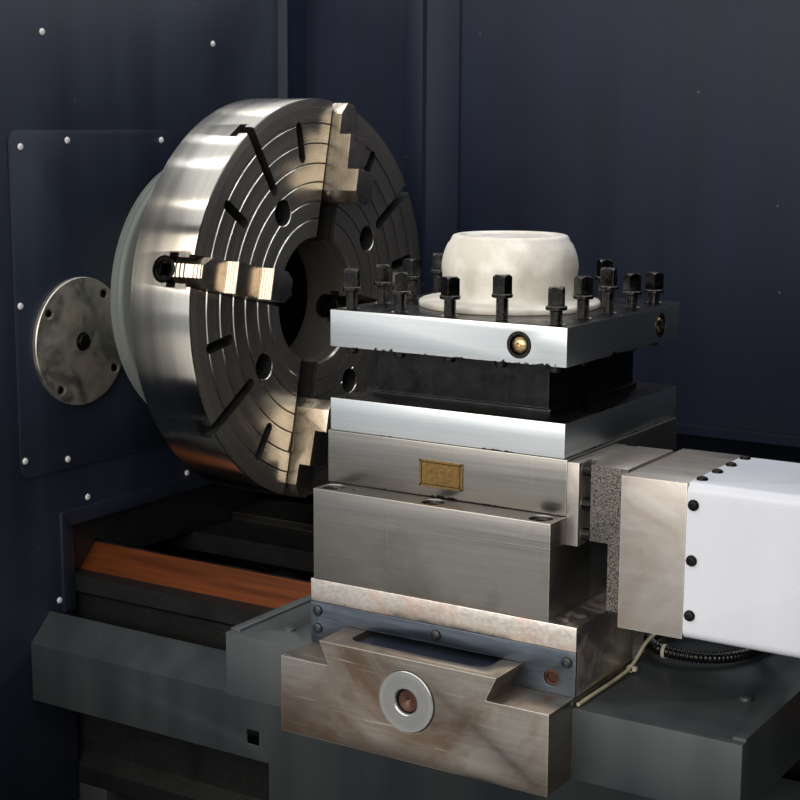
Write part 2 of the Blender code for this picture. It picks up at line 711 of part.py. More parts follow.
def addBed(root):
    half = V_TOP - BED_SHELF
    wall = BED_WALL
    recess = 0.020
    inner = BED_FRONT + recess + wall
    shelfEnd = -0.070
    front = [
        (BED_FRONT, BED_SHELF), (BED_FRONT, BED_SHELF - BED_LIP), (BED_FRONT + recess, BED_SHELF - BED_LIP - 0.012),
        (BED_FRONT + recess, BED_BOTTOM + 0.05), (BED_FRONT, BED_BOTTOM + 0.03), (BED_FRONT, BED_BOTTOM),
        (inner + 0.02, BED_BOTTOM), (inner, BED_BOTTOM + 0.05), (inner, BED_SHELF - 0.07),
        (shelfEnd, BED_SHELF - 0.035), (shelfEnd, BED_SHELF),
        (V_RIDGE + half + V_CREST_HALF, BED_SHELF), (V_RIDGE + V_CREST_HALF, V_TOP),
        (V_RIDGE - V_CREST_HALF, V_TOP), (V_RIDGE - half - V_CREST_HALF, BED_SHELF),
    ]
    span = (BED_LEFT, BED_RIGHT)
    bed = place("bed_casting", swept(front, "X", span), CAST, root)
    behind = BED_BACK - recess - wall
    flat = BED_BACK - 0.12
    back = [
        (BED_BACK, FLAT_WAY), (flat, FLAT_WAY), (flat, BED_SHELF), (0.080, BED_SHELF), (0.080, BED_SHELF - 0.035),
        (behind, BED_SHELF - 0.07), (behind, BED_BOTTOM + 0.05), (behind - 0.02, BED_BOTTOM),
        (BED_BACK, BED_BOTTOM), (BED_BACK, BED_BOTTOM + 0.03), (BED_BACK - recess, BED_BOTTOM + 0.05),
        (BED_BACK - recess, BED_SHELF - BED_LIP - 0.012), (BED_BACK, BED_SHELF - BED_LIP),
    ]
    fuse(bed, swept(back, "X", span), "rear_wall")
    ribs = bmesh.new()
    step = (BED_RIGHT - BED_RIB_FROM - BED_RIB) / (BED_RIB_COUNT - 1)
    for index in range(BED_RIB_COUNT):
        left = BED_RIB_FROM + index * step
        rib = (inner - 0.01, behind + 0.01)
        box(ribs, (left, left + BED_RIB), rib, (BED_BOTTOM + 0.01, BED_SHELF - 0.05))
    fuse(bed, ribs, "ribs")
    block = boxes(
        ((LEAD_LEFT - 0.008, LEAD_LEFT + 0.036), (LEAD_Y - 0.040, BED_FRONT + 0.025), (LEAD_Z - 0.040, LEAD_Z + 0.030)),
    )
    fuse(bed, block, "screw_support")
    bore = cylinder(
        bmesh.new(), "X", (0, LEAD_Y, LEAD_Z), LEAD_R * 0.8 + RUNNING, (LEAD_LEFT - 0.02, LEAD_LEFT + 0.05), 24,
    )
    cut(bed, bore, "screw_bore")


def addPedestals(root):
    floor = -SPINDLE_HEIGHT
    top = BED_BOTTOM - FIT
    for name, left in (("left", BED_LEFT), ("right", BED_RIGHT - PEDESTAL_LENGTH)):
        right = left + PEDESTAL_LENGTH
        side = [
            (left, top), (left, floor + FOOT_HEIGHT), (right, floor + FOOT_HEIGHT), (right, top),
        ]
        shape = swept(side, "Y", (BED_FRONT, BED_BACK))
        pedestal = place(name + "_pedestal", shape, DARK_PAINT, root)
        pads = bmesh.new()
        for x in (left + 0.03, right - 0.15):
            for y in (BED_FRONT + 0.02, BED_BACK - 0.14):
                box(pads, (x, x + 0.12), (y, y + 0.12), (floor, floor + FOOT_HEIGHT + BITE))
        fuse(pedestal, pads, "pads")


def addChipTray(root):
    left = BED_LEFT + PEDESTAL_LENGTH + FIT
    right = BED_RIGHT - PEDESTAL_LENGTH - FIT
    low = -SPINDLE_HEIGHT
    x = (left, right)
    y = (SILL_BACK + SHEET + FIT * 2.0, BACK - 0.02)
    tray = place("chip_tray", boxes((x, y, (low, low + 0.16))), DARK_PAINT, root)
    hollow = ((left + SHEET, right - SHEET), (y[0] + SHEET, y[1] - SHEET), (low + 0.006, low + 0.2))
    cut(tray, boxes(hollow), "hollow")


def addFrontWayCover(root):
    out = SHEET
    right = BED_RIGHT - 0.052
    wall = BED_FRONT + 0.020 - FIT
    outline = [
        (COVER_TOP_Y, COVER_TOP_Z), (COVER_FOLD_Y, COVER_FOLD_Z), (COVER_FOLD_Y, COVER_BOTTOM_Z),
        (wall, COVER_BOTTOM_Z), (wall, COVER_BOTTOM_Z + out), (COVER_FOLD_Y + out, COVER_BOTTOM_Z + out),
        (COVER_FOLD_Y + out, COVER_FOLD_Z - out * 0.4), (COVER_TOP_Y + out, COVER_TOP_Z - out * 0.4),
    ]
    left = WALL_X + SHEET
    cover = place("front_way_cover", swept(outline, "X", (left, right)), GREEN_PAINT, root)
    apron = boxes((
        (COVER_APRON_FROM, right),
        (COVER_FOLD_Y, COVER_FOLD_Y + out),
        (BED_BOTTOM - 0.10, COVER_BOTTOM_Z + BITE),
    ))
    fuse(cover, apron, "apron")
    hole = 0.011
    at = (COVER_APRON_FROM - 0.028, COVER_FOLD_Z - 0.060)
    cut(cover, boxes((
        (at[0] - hole, at[0] + hole), (COVER_FOLD_Y - BITE, COVER_FOLD_Y + out + BITE), (at[1] - hole, at[1] + hole),
    )), "square_hole")


# Guards round the working space

def addGuardWall(root):
    inner = WALL_X - SHEET / 2.0
    outer = WALL_X + SHEET / 2.0
    frame = 0.024
    openY = -0.240
    openZ = -0.360
    low = COVER_BOTTOM_Z - 0.20
    wall = place("headstock_guard_wall", boxes(((inner, outer), (SILL_BACK + 0.006, 0.330), (low, PANEL_TOP))),
                 NAVY_PAINT, root)
    cut(wall, boxes(((inner - BITE, outer + BITE), (openY, 0.40), (low - BITE, openZ))), "bed_opening")
    hole = cylinder(bmesh.new(), "X", (0, 0, 0), NOSE_HOLE_R, (inner - BITE, outer + BITE), 32)
    cut(wall, hole, "nose_hole")
    lip = 0.006
    top = swept([(openY - frame, openZ + frame), (0.31, openZ + frame), (0.31, openZ), (openY, openZ)],
                "X", (outer - 0.001, outer + lip))
    fuse(wall, top, "lip_top")
    side = swept([(openY - frame, openZ + frame - FIT), (openY, openZ - FIT), (openY, -0.50), (openY - frame, -0.50)],
                 "X", (outer - 0.001, outer + lip - FIT))
    fuse(wall, side, "lip_side")
    edge = boxes(((inner, WALL_X + 0.022), (0.330 - SHEET, 0.330), (openZ, PANEL_TOP)))
    fuse(wall, edge, "rear_edge")
    return outer


def addInsetPlate(root, wallFace):
    """The plate over the gear box: screwed on, with the round cover in it."""
    thick = 0.0025
    face = wallFace + FIT + thick
    x = (wallFace + FIT, face)
    plate = swept(roundedRectangle((-0.345, 0.020), (-0.268, 0.265), 0.020, 3), "X", x)
    made = place("inset_guard_plate", plate, NAVY_PAINT, root)
    hole = cylinder(bmesh.new(), "X", (0, 0, 0), NOSE_HOLE_R, (x[0] - BITE, x[1] + BITE), 32)
    cut(made, hole, "nose_hole")
    heads = bmesh.new()
    for y, z in ((-0.322, 0.240), (-0.223, 0.249), (-0.003, 0.248), (-0.334, 0.001), (-0.336, -0.239), (-0.244, -0.252)):
        cylinder(heads, "X", (0, y, z), 0.0060, (face - 0.001, face + 0.004), 10)
    fuse(made, heads, "screw_heads")
    return face


def addRoundCover(root, face):
    centreY = -0.210
    centreZ = -0.066
    radius = 0.102
    thick = 0.008
    low = face + FIT
    profile = [(0.0, 0.0), (radius, 0.0), (radius, thick - 0.0015), (radius - 0.0015, thick), (0.0, thick)]
    shape = turned(profile, 40, "X", (low, centreY, centreZ), closed=False)
    cover = place("round_cover", shape, WORN_STEEL, root, smooth=True)
    clear = cylinder(bmesh.new(), "X", (0, 0, 0), NOSE_HOLE_R + 0.002, (low - BITE, low + thick + BITE), 40)
    cut(cover, clear, "nose_clearance")
    holes = bmesh.new()
    heads = bmesh.new()
    for index in range(4):
        turn = math.radians(54.5) + index * SQUARE
        y = centreY + 0.088 * math.cos(turn)
        z = centreZ + 0.088 * math.sin(turn)
        cylinder(holes, "X", (0, y, z), 0.0090, (low + thick - 0.004, low + thick + BITE), 12)
        cylinder(heads, "X", (0, y, z), 0.0060, (low + thick - 0.005, low + thick - 0.001), 8)
    cut(cover, holes, "counterbores")
    fuse(cover, heads, "screw_heads")
    plug = cylinder(bmesh.new(), "X", (0, centreY, centreZ), 0.0125, (low + thick - 0.001, low + thick + 0.007), 6)
    fuse(cover, plug, "plug")


def addBackGuard(root):
    """Folded sheets behind the working space, with one standing seam."""
    y = GUARD_Y
    seamY = y - 0.010
    wallBack = WALL_X - SHEET / 2.0 - FIT
    left = wallBack - SHEET
    right = RIGHT_END - SHEET - FIT
    bottom = -0.215
    top = PANEL_TOP - SHEET - FIT
    front = [
        (left, y), (-0.101, y), (-0.098, seamY), (-0.060, seamY), (-0.057, y), (0.010, y), (0.022, y - 0.012),
        (right, y - 0.012),
    ]
    back = [(a, b + SHEET) for a, b in reversed(front)]
    guard = place("back_guard", swept(front + back, "Z", (bottom, top)), PURPLE_PAINT, root)
    hem = boxes(((left, right), (y - 0.008, y + 0.030), (bottom - 0.020, bottom + BITE)))
    fuse(guard, hem, "hem")
    ledge = bottom - 0.020
    skirt = BACK - 0.040
    lower = [
        (y + 0.027, ledge + SHEET), (skirt + SHEET, ledge + SHEET), (skirt + SHEET, SKIRT_BOTTOM),
        (skirt, SKIRT_BOTTOM), (skirt, ledge), (y + 0.027, ledge),
    ]
    fuse(guard, swept(lower, "X", (left, right)), "skirt")
    post = boxes(((left, wallBack), (0.300, y + BITE), (bottom, top)))
    fuse(guard, post, "left_return")


def shell(bm, x, y, z, open_, wall):
    """Adds the inside of a sheet cabinet: the box between the pairs, less its walls, open on some sides."""
    sides = [list(x), list(y), list(z)]
    for slot, letter in enumerate("xyz"):
        sides[slot][0] += -0.05 if "-" + letter in open_ else wall
        sides[slot][1] -= -0.05 if "+" + letter in open_ else wall
    return box(bm, *sides)


def addCabinets(root):
    top = PANEL_TOP
    floor = -SPINDLE_HEIGHT
    front = SILL_BACK + FIT
    x = (LEFT_END, WALL_X - SHEET / 2.0 - FIT)
    cabinet = place("headstock_cabinet", boxes((x, (front, BACK), (floor, top))), NAVY_PAINT, root)
    inside = shell(bmesh.new(), x, (front, BACK), (floor, top), ("-z", "+x"), SHEET)
    cut(cabinet, inside, "inside")
    x = (RIGHT_DOOR_FROM, RIGHT_END)
    y = (front, BACK)
    cabinet = place("tailstock_cabinet", boxes((x, y, (floor, top))), NAVY_PAINT, root)
    inside = shell(bmesh.new(), x, y, (floor, top), ("-z", "-x"), SHEET)
    cut(cabinet, inside, "inside")
    behindGuard = 0.408 - FIT
    notch = boxes(((x[0] - BITE, CONSOLE_LEFT - 0.10), (behindGuard, BACK + BITE), (floor - BITE, top + BITE)))
    cut(cabinet, notch, "back_notch")


def addFront(root):
    floor = -SPINDLE_HEIGHT
    y = (FRONT, SILL_BACK)
    sill = boxes(((LEFT_END, RIGHT_END), y, (floor, SILL_TOP)))
    frame = place("front_frame", sill, NAVY_PAINT, root)
    fuse(frame, boxes(((LEFT_END, RIGHT_END), y, (TRACK_BOTTOM, PANEL_TOP))), "track")
    posts = boxes(
        ((LEFT_END, LEFT_DOOR_FROM - 0.010), y, (SILL_TOP - BITE, TRACK_BOTTOM + BITE)),
        ((CONSOLE_LEFT, RIGHT_END), y, (SILL_TOP - BITE, TRACK_BOTTOM + BITE)),
    )
    fuse(frame, posts, "posts")
    grooves = boxes(
        ((LEFT_DOOR_FROM - 0.02, CONSOLE_LEFT + 0.002), (GROOVE_FRONT, GROOVE_FRONT + GROOVE), (SILL_TOP - 0.010, SILL_TOP + BITE)),
    )
    cut(frame, grooves, "door_track")
    recess = (CONSOLE_LEFT + 0.05, RIGHT_END - 0.06)
    cut(frame, boxes((recess, (FRONT - BITE, FRONT + 0.012), CONSOLE_HEIGHTS)), "console_recess")
    screenX = (recess[0] + FIT, recess[1] - FIT)
    heights = (CONSOLE_HEIGHTS[0] + FIT, CONSOLE_HEIGHTS[1] - FIT)
    panel = boxes((screenX, (FRONT + 0.002, FRONT + 0.012 - FIT), heights))
    control = place("control_panel", panel, PANEL_GREY, root)
    screen = boxes(((recess[0] + 0.04, recess[1] - 0.04), (FRONT, FRONT + 0.004), (0.150, 0.385)))
    cut(control, screen, "screen")


def addDoors(root):
    y = (DOOR_FRONT, DOOR_FRONT + DOOR_THICK)
    z = (SILL_TOP + FIT, TRACK_BOTTOM - FIT)
    for name, left, handleAt in (("left", LEFT_DOOR_FROM, 0.93), ("right", RIGHT_DOOR_FROM, 0.07)):
        slide = empty(name + "_door_slide", root, (left, 0.0, 0.0))
        door = place(name + "_door", boxes(((0.0, DOOR_WIDTH), y, z)), NAVY_PAINT, slide)
        window = roundedRectangle((WINDOW_BORDER, DOOR_WIDTH - WINDOW_BORDER), WINDOW_HEIGHTS, 0.03, 3)
        cut(door, swept([(a, b) for a, b in window], "Y", (y[0] - BITE, y[0] + 0.012)), "window")
        runner = boxes(((0.06, DOOR_WIDTH - 0.06), (GROOVE_FRONT + 0.001, GROOVE_FRONT + GROOVE - 0.001), (SILL_TOP - 0.008, SILL_TOP + BITE)))
        fuse(door, runner, "runner")
        at = DOOR_WIDTH * handleAt
        grip = roundedRectangle((at - 0.016, at + 0.016), (-0.190, 0.090), 0.015, 3)
        cut(door, swept(grip, "Y", (y[0] - BITE, y[0] + 0.016)), "handle_cup")


# Carriage

def addSaddle(carriage):
    bar = (BAR_LEFT, BAR_RIGHT)
    tail = [
        (BAR_LEFT, BAR_BOTTOM), (BAR_RIGHT, BAR_BOTTOM), (BAR_RIGHT, LEDGE),
        (TAIL_MIDDLE + TAIL_ROOT_HALF, LEDGE), (TAIL_MIDDLE + TAIL_TOP_HALF, TAIL_TOP),
        (TAIL_MIDDLE - TAIL_TOP_HALF, TAIL_TOP), (TAIL_MIDDLE - TAIL_ROOT_HALF, LEDGE), (BAR_LEFT, LEDGE),
    ]
    saddle = place("saddle", swept(tail, "Y", (BAR_FRONT, BAR_BACK)), NOSE_STEEL, carriage)
    wings = boxes(
        ((WING_LEFT + SHEET + 0.002, WING_RIGHT - SHEET - 0.002), (-0.232, -0.090), (BED_SHELF + 0.003, CAST_WING_TOP)),
        ((WING_LEFT + SHEET + 0.002, WING_RIGHT - SHEET - 0.002), (0.205, WING_BACK - SHEET - 0.002),
         (FLAT_WAY + FIT, CAST_WING_TOP)),
    )
    fuse(saddle, wings, "wings")
    half = V_TOP - BED_SHELF + FIT
    groove = [
        (V_RIDGE - half - V_CREST_HALF - 0.0005, BED_SHELF), (V_RIDGE + half + V_CREST_HALF + 0.0005, BED_SHELF),
        (V_RIDGE + V_CREST_HALF + 0.0005, V_TOP + FIT), (V_RIDGE - V_CREST_HALF - 0.0005, V_TOP + FIT),
    ]
    cut(saddle, swept(groove, "X", (WING_LEFT, WING_RIGHT)), "way_groove")
    outline = roundedRectangle((SLOT_LEFT, SLOT_RIGHT), (SLOT_FRONT, SLOT_BACK), SLOT_CORNER)
    cut(saddle, swept(outline, "Z", (SLOT_FLOOR, TAIL_TOP + BITE)), "screw_slot")
    hole = cylinder(bmesh.new(), "Y", (CROSS_SCREW_X, 0, CROSS_SCREW_Z), CROSS_SCREW_R + RUNNING,
                    (BAR_FRONT - BITE, BAR_BACK + BITE), 24)
    cut(saddle, hole, "screw_bore")
    seat = cylinder(bmesh.new(), "Y", (CROSS_SCREW_X, 0, CROSS_SCREW_Z), CROSS_DISC_R + FIT,
                    (BAR_FRONT - BITE, BAR_FRONT + CROSS_DISC_SEAT), 40)
    cut(saddle, seat, "disc_seat")
    outer = CROSS_DISC_R
    low = BAR_FRONT + CROSS_DISC_SEAT - FIT
    face = BAR_FRONT - CROSS_DISC_PROUD
    profile = [
        (CROSS_DISC_HOLE_R, low), (outer, low), (outer, face + 0.0015), (outer - 0.0015, face),
        (CROSS_DISC_HOLE_R + 0.0015, face + 0.001), (CROSS_DISC_HOLE_R, face + 0.0025),
    ]
    disc = turned(profile, 40, "Y", (CROSS_SCREW_X, 0.0, CROSS_SCREW_Z))
    place("cross_screw_disc", disc, BRIGHT_STEEL, carriage, smooth=True)


def addSlotCover(carriage):
    x = (SLOT_LEFT + SLIDING, SLOT_RIGHT - SLIDING)
    y = (SLOT_FRONT + SLIDING, SLOT_FRONT + 0.100)
    top = TAIL_TOP - 0.008
    outline = roundedRectangle(x, y, SLOT_CORNER - SLIDING)
    cover = place("slot_cover", swept(outline, "Z", (top - 0.004, top)), NAVY_PAINT, carriage)
    heads = bmesh.new()
    for along in (x[0] + 0.018, x[1] - 0.018):
        cylinder(heads, "Z", (along, y[0] + 0.014, 0), 0.0045, (top - BITE, top + 0.003), 10)
    fuse(cover, heads, "screws")
    legs = boxes(
        ((x[0], x[0] + 0.012), (y[0] + SLOT_CORNER, y[1] - SLOT_CORNER), (SLOT_FLOOR + FIT, top - BITE)),
        ((x[1] - 0.012, x[1]), (y[0] + SLOT_CORNER, y[1] - SLOT_CORNER), (SLOT_FLOOR + FIT, top - BITE)),
    )
    fuse(cover, legs, "legs")


def addWings(carriage):
    """Painted covers over the saddle's wings, open below and towards the bar."""
    for name, x, innerSide in (
        ("left_wing_cover", (WING_LEFT, BAR_LEFT - FIT), "+x"),
        ("right_wing_cover", (BAR_RIGHT + FIT, WING_RIGHT), "-x"),
    ):
        y = (WING_FRONT, WING_BACK)
        z = (WING_BOTTOM, WING_TOP)
        wing = place(name, boxes((x, y, z)), GREEN_PAINT, carriage)
        cut(wing, shell(bmesh.new(), x, y, z, ("-z", innerSide), SHEET), "inside")
        edge = x[0] if innerSide == "+x" else x[1] - 0.014
        ridge = boxes(((edge, edge + 0.014), (WING_FRONT + 0.010, WING_BACK), (WING_TOP - 0.001, WING_TOP + 0.003)))
        fuse(wing, ridge, "ridge")
        heads = bmesh.new()
        middle = (x[0] + x[1]) / 2.0
        at = middle if innerSide == "+x" else x[1] - 0.042
        for along in (-0.575, 0.22):
            cylinder(heads, "Z", (at, along if innerSide == "+x" else along + 0.075, 0), 0.007,
                     (WING_TOP - 0.001, WING_TOP + 0.0035), 10)
        fuse(wing, heads, "screws")
        tabs = boxes((
            (x[0] + 0.004, x[1] - 0.004), (-0.228, -0.094), (CAST_WING_TOP + FIT, WING_TOP - SHEET + 0.001),
        ))
        fuse(wing, tabs, "seat")


def addNutBracket(carriage):
    x = (BRACKET_LEFT, BRACKET_RIGHT)
    top = BAR_BOTTOM - FIT
    y = (COVER_TOP_Y + 0.006, BED_FRONT - 0.004)
    bracket = place("z_nut_bracket", boxes((x, y, (LEAD_Z, top))), CAST, carriage)
    nut = cylinder(bmesh.new(), "X", (0, LEAD_Y, LEAD_Z), NUT_R, (x[0] + 0.01, x[1] - 0.01), 32)
    fuse(bracket, nut, "nut")
    bore = cylinder(bmesh.new(), "X", (0, LEAD_Y, LEAD_Z), LEAD_R + RUNNING, (x[0] - BITE, x[1] + BITE), 24)
    cut(bracket, bore, "bore")


def addLeadScrew(root, turning):
    axis = empty("z_screw_axis", turning, (0.0, LEAD_Y, LEAD_Z))
    end = BED_RIGHT + 0.01
    profile = [
        (0.0, LEAD_LEFT), (LEAD_R * 0.8, LEAD_LEFT), (LEAD_R * 0.8, LEAD_LEFT + 0.04), (LEAD_R, LEAD_LEFT + 0.04),
        (LEAD_R, BED_RIGHT - 0.06), (LEAD_R * 0.8, BED_RIGHT - 0.06), (LEAD_R * 0.8, end), (0.0, end),
    ]
    place("z_ball_screw", turned(profile, 24, closed=False), STEEL, axis, smooth=True)
    wall = BED_FRONT + 0.020 - FIT
    housing = boxes(
        ((BED_RIGHT - 0.050, BED_RIGHT + 0.030), (LEAD_Y - 0.046, wall), (LEAD_Z - 0.046, LEAD_Z + 0.046)),
    )
    servo = place("z_servo_motor", housing, BLACK_PAINT, root)
    body = (BED_RIGHT + 0.028, BED_RIGHT + 0.230)
    motor = boxes((body, (LEAD_Y - 0.065, LEAD_Y + 0.065), (LEAD_Z - 0.065, LEAD_Z + 0.065)))
    fuse(servo, motor, "motor")
    bore = cylinder(bmesh.new(), "X", (0, LEAD_Y, LEAD_Z), LEAD_R * 0.8 + RUNNING,
                    (BED_RIGHT - 0.060, BED_RIGHT + 0.012), 24)
    cut(servo, bore, "bore")


def addCrossScrew(carriage, turning):
    axis = empty("x_screw_axis", turning, (CROSS_SCREW_X, 0.0, CROSS_SCREW_Z))
    front = BAR_FRONT + 0.003
    end = BAR_BACK + 0.03
    profile = [
        (0.0, front), (CROSS_DISC_HOLE_R - RUNNING * 2, front), (CROSS_DISC_HOLE_R - RUNNING * 2, BAR_FRONT + 0.012),
        (CROSS_SCREW_R - RUNNING, BAR_FRONT + 0.012), (CROSS_SCREW_R - RUNNING, end), (0.0, end),
    ]
    place("x_ball_screw", turned(profile, 24, "Y", closed=False), STEEL, axis, smooth=True)
    y = BAR_BACK + FIT
    x = (CROSS_SCREW_X - 0.055, CROSS_SCREW_X + 0.055)
    z = (CROSS_SCREW_Z - 0.055, CROSS_SCREW_Z + 0.050)
    servo = place("x_servo_motor", boxes((x, (y, y + 0.190), z)), BLACK_PAINT, carriage)
    bore = cylinder(bmesh.new(), "Y", (CROSS_SCREW_X, 0, CROSS_SCREW_Z), CROSS_SCREW_R + RUNNING, (y - BITE, y + 0.040), 24)
    cut(servo, bore, "bore")


def addCrossSlide(slide):
    """The slide rides the dovetail; its nut hangs into the saddle's slot."""
    low = LEDGE + FIT
    front = SLIDE_FRONT
    outline = [
        (SLIDE_LEFT, front), (SLIDE_RIGHT, front), (SLIDE_RIGHT, SLIDE_STEP_Y),
        (SLIDE_RIGHT - SLIDE_STEP, SLIDE_STEP_Y), (SLIDE_RIGHT - SLIDE_STEP, SLIDE_BACK), (SLIDE_LEFT, SLIDE_BACK),
    ]
    body = place("cross_slide", swept(outline, "Z", (low, SLIDE_TOP)), SCRAPED_STEEL, slide)
    rebate = boxes((
        (SLIDE_LEFT - BITE, SLIDE_RIGHT + BITE), (front - BITE, front + WIPER + FIT), (low - BITE, WIPER_TOP + FIT),
    ))
    cut(body, rebate, "wiper_rebate")
    cut(body, swept(tailOutline(SLIDING), "Y", (front - BITE, SLIDE_BACK + BITE)), "dovetail")
    nutX = (CROSS_SCREW_X - 0.032, CROSS_SCREW_X + 0.032)
    nut = boxes((nutX, (-0.470, -0.380), (CROSS_SCREW_Z - 0.028, TAIL_TOP + 0.004)))
    fuse(body, nut, "nut")
    bore = cylinder(bmesh.new(), "Y", (CROSS_SCREW_X, 0, CROSS_SCREW_Z), CROSS_SCREW_R + RUNNING, (-0.48, -0.37), 24)
    cut(body, bore, "nut_bore")
    wiper = swept([(SLIDE_LEFT, low), (SLIDE_RIGHT, low), (SLIDE_RIGHT, WIPER_TOP), (SLIDE_LEFT, WIPER_TOP)],
                  "Y", (front, front + WIPER))
    wiper = place("slide_wiper", wiper, SLATE, slide)
    cut(wiper, swept(tailOutline(SLIDING), "Y", (front - BITE, front + WIPER + BITE)), "dovetail")
    heads = bmesh.new()
    for x, z in ((0.438, -0.274), (0.438, -0.295), (0.596, -0.275), (0.755, -0.276)):
        cylinder(heads, "Y", (x, 0, z), 0.0055, (front - 0.003, front + 0.001), 10)
    fuse(wiper, heads, "screws")
    hole = cylinder(bmesh.new(), "Y", (0.737, 0, -0.296), 0.0090, (front - BITE, front + WIPER + BITE), 16)
    cut(wiper, hole, "oil_hole")


def tailOutline(clearance):
    """The dovetail's section with a clearance, reaching below the slide."""
    lean = (TAIL_TOP_HALF - TAIL_ROOT_HALF) / (TAIL_TOP - LEDGE)
    drop = 0.004
    top = TAIL_TOP + clearance
    half = TAIL_TOP_HALF + clearance
    foot = TAIL_ROOT_HALF + clearance - lean * drop
    return [
        (TAIL_MIDDLE - foot, LEDGE - drop), (TAIL_MIDDLE + foot, LEDGE - drop),
        (TAIL_MIDDLE + half, top), (TAIL_MIDDLE - half, top),
    ]


def addRiser(slide):
    x = (RISER_LEFT, RISER_RIGHT)
    riser = place("riser_block", boxes((x, (SLIDE_FRONT, RISER_BACK), (SLIDE_TOP + FIT, RISER_TOP))), GROUND_STEEL, slide)
    line = 0.0008
    scribe = boxes((
        (RISER_LEFT - BITE, RISER_RIGHT + BITE), (SLIDE_FRONT - BITE, SLIDE_FRONT + line),
        (RISER_LINE - line, RISER_LINE + line),
    ))
    cut(riser, scribe, "scribed_line")
    middle = (SLIDE_FRONT + TURRET_FRONT) / 2.0
    holes = bmesh.new()
    for along in (0.448, 0.580, 0.712):
        cylinder(holes, "Z", (along, middle, 0), 0.0130, (RISER_TOP - 0.016, RISER_TOP + BITE), 20)
    cylinder(holes, "Z", (0.477, middle + 0.002, 0), 0.0045, (RISER_TOP - 0.012, RISER_TOP + BITE), 10)
    cut(riser, holes, "counterbores")
    heads = bmesh.new()
    for along in (0.448, 0.580, 0.712):
        cylinder(heads, "Z", (along, middle, 0), 0.0090, (RISER_TOP - 0.018, RISER_TOP - 0.004), 12)
    fuse(riser, heads, "bolts")


def addTurretBase(slide):
    x = (TURRET_LEFT - 0.0035, RISER_RIGHT)
    back = TURRET_FRONT + TURRET_SIDE - 0.004
    base = boxes((x, (TURRET_FRONT, back), (RISER_TOP + FIT, BASE_TOP)))
    place("turret_base", base, GROUND_STEEL, slide)
    thick = 0.0010
    y = (TURRET_FRONT - FIT - thick, TURRET_FRONT - FIT)
    plate = boxes(((0.551, 0.607), y, (-0.1200, -0.0890)))
    place("brass_plate", plate, BRASS, slide)


def clampPlaces():
    """Clamp screws from the turret's middle, as (x, y, top, turn): five along each edge, corners shared."""
    last = CLAMP_ALONG - 1
    grid = [(i, j) for j in range(CLAMP_ALONG) for i in range(CLAMP_ALONG) if i in (0, last) or j in (0, last)]
    return [
        (CLAMP_FIRST[0] + i * CLAMP_PITCH[0], CLAMP_FIRST[1] + j * CLAMP_PITCH[1],
         CLAMP_TOPS[number], CLAMP_TURN * (number + 1))
        for number, (i, j) in enumerate(grid)
    ]


